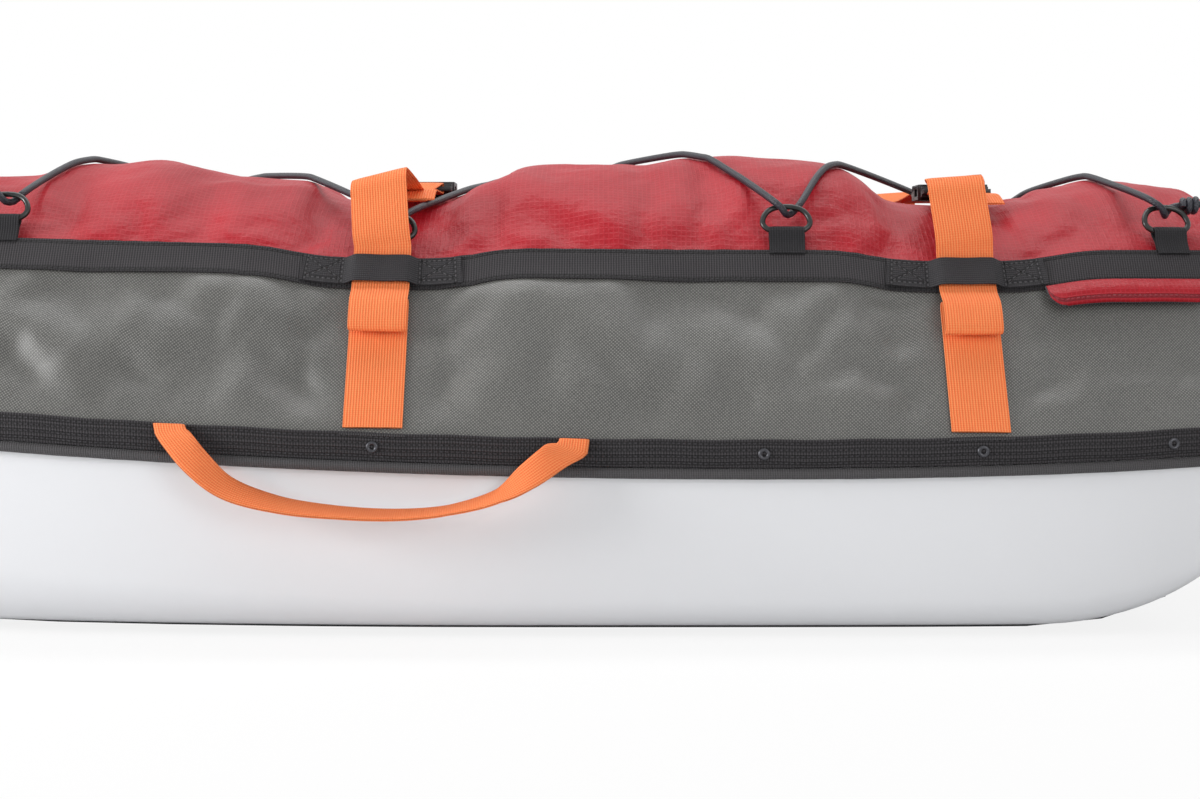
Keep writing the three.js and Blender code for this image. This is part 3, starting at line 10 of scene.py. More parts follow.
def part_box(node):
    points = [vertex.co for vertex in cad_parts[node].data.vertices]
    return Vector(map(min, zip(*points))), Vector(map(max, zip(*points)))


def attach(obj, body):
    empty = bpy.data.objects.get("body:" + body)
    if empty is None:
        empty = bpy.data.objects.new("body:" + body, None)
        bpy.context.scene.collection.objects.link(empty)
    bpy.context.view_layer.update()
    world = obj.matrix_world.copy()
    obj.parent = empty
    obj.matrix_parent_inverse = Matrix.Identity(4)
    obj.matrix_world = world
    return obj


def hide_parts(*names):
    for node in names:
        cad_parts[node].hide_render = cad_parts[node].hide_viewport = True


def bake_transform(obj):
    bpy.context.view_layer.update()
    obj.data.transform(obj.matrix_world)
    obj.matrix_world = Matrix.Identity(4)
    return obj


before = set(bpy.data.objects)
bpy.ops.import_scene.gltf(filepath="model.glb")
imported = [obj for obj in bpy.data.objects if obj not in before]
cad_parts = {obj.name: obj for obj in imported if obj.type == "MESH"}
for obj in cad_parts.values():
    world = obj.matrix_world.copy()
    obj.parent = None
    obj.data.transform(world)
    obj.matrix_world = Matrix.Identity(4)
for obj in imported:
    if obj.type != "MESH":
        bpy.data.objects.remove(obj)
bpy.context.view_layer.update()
bpy.ops.object.select_all(action="DESELECT")

# Lines of the sled, in metres, as in the part's source
LENGTH = 1.29
BEAM = 0.5
HULL_WALL = 0.004
BOW_FULLNESS = 3.2
STERN_FULLNESS = 6
SHEER_LOW = 0.138
SHEER_BOW_RISE = 0.059
SHEER_STERN_RISE = 0.011
SHEER_LOW_SHARE = 0.2
NOSE_WALL = 0.038
TRANSOM_WALL = 0.032
KEEL_Z = 0.0081
KEEL_FLAT_SHARES = (-0.2, 0.352)
STERN_SWEEP = math.radians(66)
BILGE_RADIUS = 0.02
BOW_BILGE_RADIUS = 0.13
BILGE_SPREAD_SHARE = 0.08
FLARE_SHARE = 0.045
HEM_HEIGHT = 0.0261
SIDE_LEAN = 0.075
BOW_LEAN = 0.042
STERN_LEAN = 0.012
END_LEAN_POWER = 6
TRIM_TOP = 0.264
TRIM_BOW_RISE = 0.026
TRIM_DIP = 0.008
TRIM_WIDTH = 0.025
COVER_CROWN = 0.072
COVER_DIP_SHARE = 0.33
COVER_PEAK_SHARE = 0.18
COVER_SLACK_SHARES = (0.5, 1)
COVER_POWER = 3
COVER_END_POWER = 20
DIP_REACH = 0.072
DIP_POWER = 4
GAP = 0.0003
CLOTH_T = 0.002
COVER_T = 0.0015
BAND_D = 0.0026
BAND_T = 0.0024
BAND_HEIGHT = 0.0186
TRIM_D = 0.0028
TRIM_T = 0.0016
HALF_LENGTH = LENGTH / 2
HALF_BEAM = BEAM / 2
PORT = -1
STARBOARD = 1
SIDES = (("port", PORT), ("starboard", STARBOARD))
UP = Vector((0, 0, 1))
STRAPS = {
    "bow": {"x": -0.3155 * LENGTH, "shift": -0.015, "tilt": 8},
    "mid": {"x": 0.0, "shift": 0.012, "tilt": 14},
    "stern": {"x": 0.3155 * LENGTH, "shift": 0.019, "tilt": 4},
}

# Crest of the load: share of the length from the middle, and shift from the even cover
CREST_SHIFTS = ((-0.5, 0), (-0.25, -0.002), (-0.211, -0.006), (-0.191, 0.002), (-0.167, -0.003), (-0.13, 0),
                (-0.092, -0.011), (-0.077, -0.014), (-0.045, -0.002), (-0.03, 0), (0.031, 0), (0.043, 0),
                (0.065, -0.009), (0.084, -0.009), (0.119, -0.005), (0.145, -0.01), (0.168, -0.007),
                (0.215, -0.001), (0.259, 0.002), (0.288, 0.001), (0.3, 0), (0.335, 0), (0.35, -0.002),
                (0.369, -0.008),
                (0.388, -0.014), (0.411, -0.007), (0.432, -0.001), (0.468, 0.006), (0.5, 0))

# Photograph's view
NEAR_DISTANCE = 1.4
CAMERA_X = 0.152
CAMERA_Z = 0.249
AIM_Z = 0.165
LENS = 63
SENSOR = 36

# Plan line: steps that it is measured in, and how much closer its points stand where it turns
OUTLINE_STEPS = 3000
TURN_WEIGHT = 0.12
# Directions on the wall are measured over this reach along it and this share of its height
REACH_ALONG = 0.02
REACH_SHARE = 0.01
LEAN_PASSES = 4
# Points nearer than this are one
MERGE = 0.00001


def half_breadth(x):
    power = BOW_FULLNESS if x < 0 else STERN_FULLNESS
    return HALF_BEAM * max(0.0, 1 - abs(x / HALF_LENGTH) ** power) ** (1 / power)


def sheer(x):
    low = SHEER_LOW_SHARE * LENGTH
    end = -HALF_LENGTH if x < low else HALF_LENGTH
    rise = SHEER_BOW_RISE if x < low else SHEER_STERN_RISE
    return SHEER_LOW + rise * ((x - low) / (end - low)) ** 2


def keel(x):
    flat_start, flat_end = (share * LENGTH for share in KEEL_FLAT_SHARES)
    if x < flat_start:
        share = (flat_start - x) / (flat_start + HALF_LENGTH)
        rise = sheer(-HALF_LENGTH) - NOSE_WALL - KEEL_Z
        return KEEL_Z + rise * (0.6 * share ** 2 + 0.4 * share ** 6)
    if x > flat_end:
        share = min(1, (x - flat_end) / (HALF_LENGTH - flat_end))
        rise = sheer(HALF_LENGTH) - TRANSOM_WALL - KEEL_Z
        angle = math.asin(share * math.sin(STERN_SWEEP))
        return KEEL_Z + rise * (1 - math.cos(angle)) / (1 - math.cos(STERN_SWEEP))
    return KEEL_Z


def dip(x):
    return max(math.exp(-abs((x - strap["x"]) / DIP_REACH) ** DIP_POWER) for strap in STRAPS.values())


def trim_top(x):
    low = SHEER_LOW_SHARE * LENGTH
    share = (x - low) / (-HALF_LENGTH - low) if x < low else 0
    return TRIM_TOP + TRIM_BOW_RISE * share * share - TRIM_DIP * dip(x)


def crest_shift(x):
    """How far the load's crest lies above or below the even cover, between places along the length."""
    share = x / LENGTH
    for (start, low), (end, high) in zip(CREST_SHIFTS, CREST_SHIFTS[1:]):
        if start <= share <= end:
            return low + (high - low) * (1 - math.cos(math.pi * (share - start) / (end - start))) / 2
    return 0.0


def crown(x):
    end = 1 - min(1, abs(x) / HALF_LENGTH) ** COVER_END_POWER
    away = (x - COVER_PEAK_SHARE * LENGTH) / HALF_LENGTH
    slack = COVER_SLACK_SHARES[away >= 0]
    return COVER_CROWN * (1 - slack * away * away) * end * (1 - COVER_DIP_SHARE * dip(x)) + crest_shift(x)


def end_lean(x):
    lean = BOW_LEAN if x < 0 else -STERN_LEAN
    return lean * (abs(x) / HALF_LENGTH) ** END_LEAN_POWER


def wall_point(x, y, height):
    return Vector((
        x + end_lean(x) * height,
        y * (1 - height * SIDE_LEAN / HALF_BEAM),
        sheer(x) + height * (trim_top(x) - sheer(x)),
    ))


def side_at(side, x, height):
    base = x
    for _ in range(LEAN_PASSES):
        base = x - end_lean(base) * height
    return wall_point(base, side * half_breadth(base), height)


def wall_frame(side, x, height, reach=REACH_ALONG):
    """Origin on the wall and the directions along it, up it and out of it, with the slope's length."""
    origin = side_at(side, x, height)
    along = (side_at(side, x + reach, height) - side_at(side, x - reach, height)).normalized()
    above = side_at(side, x, height + REACH_SHARE) - side_at(side, x, height - REACH_SHARE)
    out = (along.cross(above) * -side).normalized()
    up = (out.cross(along) * -side).normalized()
    slope = (side_at(side, x, 1) - side_at(side, x, 0)).length
    return {"origin": origin, "along": along, "up": up, "out": out, "slope": slope}


def at(place, along, up, out):
    return place["origin"] + place["along"] * along + place["up"] * up + place["out"] * out


def outline(count):
    """Closed plan line from the bow along port and back, closer where it turns, with outward normals."""
    xs = [-HALF_LENGTH * math.cos(math.pi * step / OUTLINE_STEPS) for step in range(OUTLINE_STEPS + 1)]
    ys = [half_breadth(x) for x in xs]
    measure = [0.0]
    heading = math.pi / 2
    for step in range(1, OUTLINE_STEPS + 1):
        run = xs[step] - xs[step - 1]
        side = ys[step] - ys[step - 1]
        turned = math.atan2(side, run)
        measure.append(measure[-1] + math.hypot(run, side) + TURN_WEIGHT * abs(turned - heading))
        heading = turned
    half = []
    step = 0
    for place in range(count // 2 + 1):
        goal = measure[-1] * place / (count // 2)
        while step < OUTLINE_STEPS - 1 and measure[step + 1] < goal:
            step += 1
        share = (goal - measure[step]) / (measure[step + 1] - measure[step])
        x = xs[step] + share * (xs[step + 1] - xs[step])
        half.append((x, ys[step] + share * (ys[step + 1] - ys[step])))
    line = [(x, -y) for x, y in half] + [(x, y) for x, y in reversed(half[1:-1])]
    corners = []
    for place, (x, y) in enumerate(line):
        before = line[place - 1]
        after = line[(place + 1) % len(line)]
        normal = Vector((after[1] - before[1], before[0] - after[0], 0)).normalized()
        corners.append({"x": x, "y": y, "normal": normal})
    return corners


def wall_corner(corner, height, distance):
    point = wall_point(corner["x"], corner["y"], height)
    above = wall_point(corner["x"], corner["y"], height + REACH_SHARE)
    across = (above - point).dot(corner["normal"])
    offset = distance * math.hypot(1, across / (above.z - point.z))
    return point + corner["normal"] * offset


def rim_corner(corner, drop, distance):
    return Vector((corner["x"], corner["y"], sheer(corner["x"]) - drop)) + corner["normal"] * distance


def dome(x, y):
    half = half_breadth(x) * (1 - SIDE_LEAN / HALF_BEAM)
    share = min(1.0, abs(y) / half) if half > 0 else 1.0
    return trim_top(x) + crown(x) * (1 - share ** COVER_POWER)


def feed(tree, socket, value):
    """Gives a socket a link or a fixed value."""
    if isinstance(value, Shade):
        tree.links.new(value.socket, socket)
    else:
        socket.default_value = value


# Shader maths written as expressions
class Shade:
    """One socket of a material, with the arithmetic that its pattern needs."""

    def __init__(self, tree, socket):
        self.tree = tree
        self.socket = socket

    def node(self, kind, settings=None, inputs=None, output=0):
        made = self.tree.nodes.new(kind)
        for name, value in (settings or {}).items():
            if name == "stops":
                ramp = made.color_ramp.elements
                while len(ramp) < len(value):
                    ramp.new(0.5)
                for element, (place, colour) in zip(ramp, value):
                    element.position = place
                    element.color = (*colour, 1)
            else:
                setattr(made, name, value)
        for name, value in (inputs or {}).items():
            feed(self.tree, made.inputs[name], value)
        return Shade(self.tree, made.outputs[output])

    def maths(self, operation, *values):
        return self.node("ShaderNodeMath", {"operation": operation}, dict(enumerate(values)))

    def __add__(self, other):
        return self.maths("ADD", self, other)

    def __radd__(self, other):
        return self.maths("ADD", other, self)

    def __sub__(self, other):
        return self.maths("SUBTRACT", self, other)

    def __rsub__(self, other):
        return self.maths("SUBTRACT", other, self)

    def __mul__(self, other):
        return self.maths("MULTIPLY", self, other)

    def __rmul__(self, other):
        return self.maths("MULTIPLY", other, self)

    def __truediv__(self, other):
        return self.maths("DIVIDE", self, other)

    def wave(self, pitch):
        """1 on the crests and 0 in the valleys of a rib pattern of that pitch."""
        return (self * (2 * math.pi / pitch)).maths("SINE", self * (2 * math.pi / pitch)) * 0.5 + 0.5

    def line(self, place, width):
        """1 within width of a place and 0 beyond, with soft sides."""
        away = self.maths("ABSOLUTE", self - place)
        sockets = {"Value": away, "From Min": width / 2, "From Max": width, "To Min": 1.0, "To Max": 0.0}
        return self.node("ShaderNodeMapRange", {"interpolation_type": "SMOOTHSTEP"}, sockets)

    def mod(self, pitch):
        """The place within one pitch."""
        return self.maths("MODULO", self + 1000 * pitch, pitch)

    def mix(self, low, high):
        """A colour between two, by this value."""
        return self.node("ShaderNodeMix", {"data_type": "RGBA"}, {0: self, 6: low, 7: high}, output=2)


def colour(red, green, blue):
    """The linear colour of a screen colour of 0 to 255."""
    return tuple(((value / 255 + 0.055) / 1.055) ** 2.4 for value in (red, green, blue)) + (1.0,)


class Finish:
    """A material under way: its coordinates, its noises and its shader."""

    def __init__(self, name):
        self.material = bpy.data.materials.new(name)
        self.material.use_nodes = True
        self.tree = self.material.node_tree
        self.shader = self.tree.nodes["Principled BSDF"]
        self.any = Shade(self.tree, None)
        self.object = self.any.node("ShaderNodeTexCoord", output="Object")
        self.uv = self.any.node("ShaderNodeUVMap", {"uv_map": "cloth"})
        self.u = self.any.node("ShaderNodeSeparateXYZ", inputs={0: self.uv})
        self.v = Shade(self.tree, self.u.socket.node.outputs["Y"])

    def noise(self, scale, detail=2.0, rough=0.5):
        sockets = {"Vector": self.object, "Scale": scale, "Detail": detail, "Roughness": rough}
        return self.any.node("ShaderNodeTexNoise", inputs=sockets)

    def set(self, **sockets):
        for name, value in sockets.items():
            feed(self.tree, self.shader.inputs[name.replace("_", " ")], value)
        return self

    def bump(self, height, distance, strength):
        sockets = {"Height": height, "Distance": distance, "Strength": strength}
        return self.set(Normal=self.any.node("ShaderNodeBump", inputs=sockets))


# Stitches: width of their groove and of their thread, and pitch and length of the dashes
GROOVE_WIDTH = 0.0017
THREAD_WIDTH = 0.0008
STITCH_PITCH = 0.0036
STITCH_LENGTH = 0.0013
# Bumps of the finishes: depth and strength
BUMPS = {"webbing": (0.0005, 0.8), "hull": (0.00003, 0.25), "twill": (0.00022, 0.7), "ripstop": (0.001, 0.7),
         "plain": (0.00005, 0.4), "cord": (0.0003, 0.7)}


def sewn(finish, base, height, row, run, dark, thread):
    """Adds a row of stitches: a groove darkened with painted shade, and in it a dashed thread."""
    groove = row(GROOVE_WIDTH)
    dash = run.mod(STITCH_PITCH).line(STITCH_PITCH / 2, STITCH_LENGTH) * row(THREAD_WIDTH)
    # The groove's colour is drawn towards the dark colour: painted shade in the stitch groove
    base = (groove * 0.6).mix(base, dark)
    return (dash * 0.85).mix(base, thread), height - groove * 1.4 + dash * 1.8


def webbing(name, low, high, rib, across=False, stitches=(), thread=None, box=None):
    """Woven strap: ribs, a cross weave, rows of stitches across it, and crossed boxes at its ends."""
    finish = Finish(name)
    ribs = (finish.u if across else finish.v).wave(rib)
    weave = (finish.v if across else finish.u).wave(rib * 0.85)
    patch = finish.noise(60, 3.0)
    fibre = finish.noise(900, 2.0)
    tone = ribs * 0.6 + weave * 0.25 + patch * 0.2 + fibre * 0.25 - 0.15
    height = ribs * 0.65 + weave * 0.35
    base = tone.mix(low, high)
    # Dark colour of the stitch grooves: painted shade, a darker copy of the webbing's own colour
    dark = tuple(0.3 * part for part in low[:3]) + (1.0,)
    for place in stitches:
        base, height = sewn(finish, base, height, lambda width: finish.v.line(place, width),
                            finish.u, dark, thread)
    if box:
        length, start, end, low_row, high_row = box
        folded = finish.any.maths("MINIMUM", finish.u, length - finish.u)
        inside = folded.maths("GREATER_THAN", folded, start) * folded.maths("LESS_THAN", folded, end)
        slope = (high_row - low_row) / (end - start)
        rise = (folded - start) * slope
        rows = [(low_row, finish.v), (high_row, finish.v),
                (low_row, finish.v - rise), (high_row, finish.v + rise)]
        for place, value in rows:
            base, height = sewn(finish, base, height, lambda width: value.line(place, width) * inside,
                                finish.u, dark, thread)
        for place in (start, end):
            base, height = sewn(finish, base, height, lambda width: folded.line(place, width),
                                finish.v, dark, thread)
    finish.set(Base_Color=base, Roughness=0.6 + patch * 0.25, Specular_IOR_Level=0.25)
    return finish.bump(height, *BUMPS["webbing"]).material


def hull_finish():
    finish = Finish("white moulded plastic")
    cloud = finish.noise(3.5, 3.0)
    grain = finish.noise(420, 2.0)
    base = cloud.mix(colour(222, 223, 226), colour(230, 231, 234))
    finish.set(Base_Color=base, Roughness=0.24 + cloud * 0.12, Coat_Weight=0.25, Coat_Roughness=0.12)
    return finish.bump(grain, *BUMPS["hull"]).material


TWILL_PITCH = 0.0023
TWILL_CROSS_PITCH = 0.0026


def twill_finish():
    finish = Finish("grey twill")
    diagonal = (finish.u + finish.v * 0.9).wave(TWILL_PITCH)
    cross = (finish.u - finish.v * 1.1).wave(TWILL_CROSS_PITCH)
    patch = finish.noise(11, 4.0)
    fleck = finish.noise(520, 2.0)
    weave = diagonal * cross
    tone = weave * 0.9 + patch * 0.3 + fleck * 0.4 - 0.2
    base = tone.mix(colour(46, 46, 44), colour(136, 135, 131))
    finish.set(Base_Color=base, Roughness=0.42 + fleck * 0.12, Specular_IOR_Level=0.65)
    return finish.bump(weave + fleck * 0.3, *BUMPS["twill"]).material


RIPSTOP_PITCH = 0.0034
RIPSTOP_THREAD = 0.0005


def ripstop_finish(name, stitches=()):
    finish = Finish(name)
    across = finish.u.mod(RIPSTOP_PITCH).line(RIPSTOP_PITCH / 2, RIPSTOP_THREAD)
    along = finish.v.mod(RIPSTOP_PITCH).line(RIPSTOP_PITCH / 2, RIPSTOP_THREAD)
    grid = finish.any.maths("MAXIMUM", across, along)
    patch = finish.noise(14, 4.0)
    thread = finish.noise(1500, 1.0)
    tone = patch * 0.9 + thread * 0.3 - 0.1
    cloth = tone.mix(colour(140, 4, 20), colour(186, 18, 36))
    base = (grid * 0.25).mix(cloth, colour(204, 56, 70))
    wrinkle = finish.noise(48, 4.0, rough=0.62)
    height = grid * 0.2 + thread * 0.1 + wrinkle * 3.4
    for place in stitches:
        # colour(92, 20, 30) is the painted shade in the stitch grooves, and colour(150, 40, 52) is the thread
        base, height = sewn(finish, base, height, lambda width: finish.v.line(place, width), finish.u,
                            colour(92, 20, 30), colour(150, 40, 52))
    finish.set(Base_Color=base, Roughness=0.42 + thread * 0.12, Specular_IOR_Level=0.28)
    return finish.bump(height, *BUMPS["ripstop"]).material


def plain_finish(name, low, high, roughness, grain, metallic):
    finish = Finish(name)
    spot = finish.noise(grain, 3.0)
    finish.set(Base_Color=spot.mix(low, high), Roughness=roughness + spot * 0.15, Metallic=metallic)
    return finish.bump(spot, *BUMPS["plain"]).material


BRAID_PITCH = 0.0021


def cord_finish():
    finish = Finish("braided cord")
    one = (finish.u * 1.0 + finish.v * 0.9).wave(BRAID_PITCH)
    other = (finish.u * 1.0 - finish.v * 0.9).wave(BRAID_PITCH)
    braid = finish.any.maths("MAXIMUM", one, other)
    base = braid.mix(colour(10, 10, 13), colour(40, 41, 52))
    finish.set(Base_Color=base, Roughness=0.42)
    return finish.bump(braid, *BUMPS["cord"]).material


WEB_BLACK = (colour(12, 11, 12), colour(76, 73, 76))
WEB_ORANGE = (colour(240, 100, 44), colour(255, 160, 102))
THREAD = colour(62, 60, 63)
# Pitch of each webbing's ribs
RIBS = {"hem": 0.0019, "piping": 0.0016, "trim": 0.0018, "keeper": 0.0017, "bar": 0.0016, "tab": 0.0018,
        "strap": 0.0019, "handle": 0.0018}
# Rows of stitches, from one edge of the webbing or cloth
HEM_STITCHES = (0.0032, 0.0076, 0.012, 0.0164)
TRIM_STITCHES = (0.0022, 0.0232)
FLAP_STITCHES = (0.0032,)
# A keeper's crossed boxes: length of its webbing, start and end of a box along it, and its rows across it
KEEPER_BOX = (0.1136, 0.0035, 0.0285, 0.003, 0.019)
FINISHES = {
    "hull": hull_finish(),
    "hem": webbing("hem webbing", *WEB_BLACK, RIBS["hem"], across=True, stitches=HEM_STITCHES, thread=THREAD),
    "piping": webbing("piping roll", colour(58, 57, 58), colour(90, 88, 90), RIBS["piping"], across=True),
    "trim": webbing("trim webbing", *WEB_BLACK, RIBS["trim"], across=True, stitches=TRIM_STITCHES,
                    thread=colour(44, 43, 45)),
    "keeper": webbing("keeper webbing", colour(30, 29, 31), colour(62, 60, 63), RIBS["keeper"],
                      thread=colour(84, 82, 85), box=KEEPER_BOX),
    "bar": webbing("bar tack", colour(14, 14, 15), colour(84, 82, 84), RIBS["bar"], across=True),
    "tab": webbing("tab webbing", colour(20, 19, 21), colour(48, 47, 50), RIBS["tab"]),
    "strap": webbing("orange webbing", *WEB_ORANGE, RIBS["strap"]),
    "handle": webbing("orange handle webbing", *WEB_ORANGE, RIBS["handle"]),
    "twill": twill_finish(),
    "ripstop": ripstop_finish("red ripstop"),
    "flap": ripstop_finish("red flap ripstop", stitches=FLAP_STITCHES),
    "cord": cord_finish(),
}
# Plain finishes: name, dark and light screen colour, roughness, scale of the grain, and share of metal
PLAIN_FINISHES = {
    "sole": ("black sliding plastic", (24, 25, 28), (38, 39, 43), 0.4, 90, 0.0),
    "rivet": ("rivet metal", (52, 52, 56), (86, 86, 90), 0.28, 300, 0.8),
    "buckle": ("black buckle plastic", (20, 20, 22), (34, 34, 36), 0.35, 260, 0.0),
    "wire": ("black coated wire", (16, 19, 18), (30, 34, 32), 0.22, 200, 0.0),
    "steel": ("steel", (168, 170, 172), (196, 198, 200), 0.25, 300, 1.0),
    "bracket": ("dark bracket metal", (46, 48, 50), (66, 68, 70), 0.38, 240, 0.7),
}
for key, (name, low, high, roughness, grain, metallic) in PLAIN_FINISHES.items():
    FINISHES[key] = plain_finish(name, colour(*low), colour(*high), roughness, grain, metallic)


def new_object(name, data):
    made = bpy.data.objects.new(name, data)
    bpy.context.scene.collection.objects.link(made)
    return made


# Angles in degrees above which an edge stays sharp in the shading
FLAT_SMOOTH = 40
BAND_SMOOTH = 50
ROUND_SMOOTH = 60
CLOTH_SMOOTH = 70
RIVET_SMOOTH = 35


def new_piece(name, points, faces, finish, uvs=None, smooth=FLAT_SMOOTH):
    mesh = bpy.data.meshes.new(name)
    mesh.from_pydata([tuple(point) for point in points], [], faces)
    mesh.validate()
    if uvs:
        layer = mesh.uv_layers.new(name="cloth")
        for loop in mesh.loops:
            layer.data[loop.index].uv = uvs[loop.vertex_index]
    piece = new_object(name, mesh)
    mesh.materials.append(FINISHES[finish])
    choose(piece)
    bpy.ops.object.shade_smooth_by_angle(angle=math.radians(smooth))
    return piece


def choose(*pieces):
    bpy.ops.object.select_all(action="DESELECT")
    for piece in pieces:
        piece.select_set(True)
    bpy.context.view_layer.objects.active = pieces[0]


def edit_all(piece, *steps):
    """Runs operators, each with its settings, on all of a piece in edit mode."""
    choose(piece)
    bpy.ops.object.mode_set(mode="EDIT")
    bpy.ops.mesh.select_all(action="SELECT")
    for operator, settings in steps:
        operator(**settings)
    bpy.ops.object.mode_set(mode="OBJECT")


def outward(piece):
    edit_all(piece, (bpy.ops.mesh.remove_doubles, {"threshold": MERGE}),
             (bpy.ops.mesh.normals_make_consistent, {"inside": False}))
    return piece


def apply_modifier(piece, kind, name, **settings):
    choose(piece)
    modifier = piece.modifiers.new(name, kind)
    for key, value in settings.items():
        setattr(modifier, key, value)
    bpy.ops.object.modifier_apply(modifier=modifier.name)
    return piece


def finish_piece(piece, body="sled", replaced=()):
    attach(piece, body)
    if replaced:
        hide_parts(*replaced)
    return piece


def running(steps):
    """The sum up to each place, from 0 on."""
    return [0.0, *itertools.accumulate(steps)]


def quads(rows, columns, columns_closed=True, rows_closed=False):
    """Faces of a grid of points that are listed row by row."""
    faces = []
    for row in range(rows if rows_closed else rows - 1):
        following = (row + 1) % rows
        for column in range(columns if columns_closed else columns - 1):
            across = (column + 1) % columns
            faces.append((row * columns + column, row * columns + across,
                          following * columns + across, following * columns + column))
    return faces


def swept(name, rings, finish, lengths=None, closed=False, smooth=FLAT_SMOOTH):
    """A skin through rings of points; the pattern runs along the sweep and round each ring."""
    sides = len(rings[0])
    count = len(rings)
    if lengths is None:
        lengths = running((sum(after, Vector()) - sum(before, Vector())).length / sides
                          for before, after in zip(rings, rings[1:]))
    points = [point for ring in rings for point in ring]
    uvs = []
    for ring, length in zip(rings, lengths):
        run = 0.0
        for side, point in enumerate(ring):
            if side:
                run += (point - ring[side - 1]).length
            uvs.append((length, run))
    faces = quads(count, sides, rows_closed=closed)
    if not closed:
        faces.append(tuple(range(sides))[::-1])
        faces.append(tuple((count - 1) * sides + side for side in range(sides)))
    return outward(new_piece(name, points, faces, finish, uvs, smooth))


def smooth_path(points, pitch):
    """A curve through points, sampled about every pitch."""
    path = []
    last = len(points) - 1
    for place in range(last):
        before = points[max(place - 1, 0)]
        start = points[place]
        end = points[place + 1]
        after = points[min(place + 2, last)]
        steps = max(1, round((end - start).length / pitch))
        for step in range(steps):
            path.append(spline(before, start, end, after, step / steps))
    path.append(points[-1].copy())
    return path


SHORTEST_ROOT = 0.01


def spline(before, start, end, after, share):
    """Catmull-Rom with knots spread by the root of each span, which never loops."""
    knots = [0.0]
    for one, other in ((before, start), (start, end), (end, after)):
        knots.append(knots[-1] + max((other - one).length ** 0.5, SHORTEST_ROOT))
    place = knots[1] + share * (knots[2] - knots[1])

    def between(one, other, low, high):
        return one * ((high - place) / (high - low)) + other * ((place - low) / (high - low))

    first = between(before, start, knots[0], knots[1])
    second = between(start, end, knots[1], knots[2])
    third = between(end, after, knots[2], knots[3])
    early = between(first, second, knots[0], knots[2])
    late = between(second, third, knots[1], knots[3])
    return between(early, late, knots[1], knots[2])


def tangents(path, closed=False):
    found = []
    last = len(path) - 1
    for place in range(len(path)):
        before = path[place - 1] if closed or place else path[0]
        after = path[(place + 1) % len(path)] if closed or place < last else path[last]
        found.append((after - before).normalized())
    return found


LEVEL_REACH = 0.028
RIBBON_COLUMNS = 9
BAND_PITCH = 0.003


def ribbon_rings(path, widths, width, thickness, slants):
    """Sections of a flat band with rounded edges, lying across the given directions, cut at a slant."""
    rings = []
    half = width / 2
    bevel = thickness / 2
    for point, tangent, across, slant in zip(path, tangents(path), widths, slants):
        flat = tangent.cross(across).normalized()
        side = flat.cross(tangent).normalized() + tangent * slant
        section = []
        for face in (1, -1):
            for column in range(RIBBON_COLUMNS):
                share = 2 * column / (RIBBON_COLUMNS - 1) - 1
                reach = share * (half - bevel * 0.4) * face
                lift = bevel * face * (1 - 0.35 * abs(share) ** 12)
                section.append(point + side * reach + flat * lift)
            section.append(point + side * half * face)
        rings.append(section)
    return rings


def band(name, controls, directions, width, thickness, finish, pitch=BAND_PITCH, line=None):
    """A strap through control points, each with its width's direction; its ends are cut along the line."""
    path = smooth_path(controls, pitch)
    steps = [max(1, round((end - start).length / pitch)) for start, end in zip(controls, controls[1:])]
    widths = []
    for place, count in enumerate(steps):
        for step in range(count):
            widths.append(directions[place].lerp(directions[place + 1], step / count).normalized())
    widths.append(directions[-1])
    slants = [0.0] * len(path)
    if line:
        for place, tangent in enumerate(tangents(path)):
            level = max(0, 1 - min(place, len(path) - 1 - place) * pitch / LEVEL_REACH)
            flush = line * math.copysign(1, line.dot(widths[place]))
            lean = flush.dot(tangent)
            widths[place] = widths[place].lerp(flush, level)
            slants[place] = level * lean / math.sqrt(1 - lean * lean)
    return swept(name, ribbon_rings(path, widths, width, thickness, slants), finish, smooth=BAND_SMOOTH)


# A direction that no cord or wire starts along
TUBE_LIFT = Vector((0.31, 0.17, 0.93))


def tube_rings(path, radius, sides, closed=False):
    lift = TUBE_LIFT
    rings = []
    for point, tangent in zip(path, tangents(path, closed)):
        side = tangent.cross(lift).normalized()
        lift = side.cross(tangent).normalized()
        rings.append([point + side * (radius * math.cos(2 * math.pi * step / sides))
                      + lift * (radius * math.sin(2 * math.pi * step / sides)) for step in range(sides)])
    return rings


def tube(name, path, radius, sides, finish, closed=False):
    """A round skin along a path."""
    return swept(name, tube_rings(path, radius, sides, closed), finish, closed=closed, smooth=ROUND_SMOOTH)


def plan_run(corners):
    """How far round the plan each corner lies."""
    return running(math.hypot(after["x"] - before["x"], after["y"] - before["y"])
                   for before, after in zip(corners, corners[1:]))


AROUND_COUNT = 400


def around(name, profile, finish, smooth=FLAT_SMOOTH):
    """A closed sweep round the plan of the sled."""
    corners = outline(AROUND_COUNT)
    rings = [profile(corner) for corner in corners]
    return swept(name, rings, finish, plan_run(corners), closed=True, smooth=smooth)


# Camera, as the photograph was taken
camera_data = bpy.data.cameras.new("photo camera")
camera = new_object("photo camera", camera_data)
camera_data.lens = LENS
camera_data.sensor_width = SENSOR
camera.location = (CAMERA_X, -HALF_BEAM - NEAR_DISTANCE, CAMERA_Z)
aim = Vector((CAMERA_X, -HALF_BEAM, AIM_Z)) - camera.location
camera.rotation_euler = aim.to_track_quat("-Z", "Y").to_euler()
bpy.context.scene.camera = camera
bpy.context.scene.view_settings.view_transform = "Standard"


# Hull: a lofted shell with a wall, closed at both ends
HULL_COUNT = 320
HULL_SIDE_STEPS = 6
HULL_BILGE_STEPS = 12
HULL_FLOOR_STEPS = 5
HULL_FLOOR_Z = 0.01


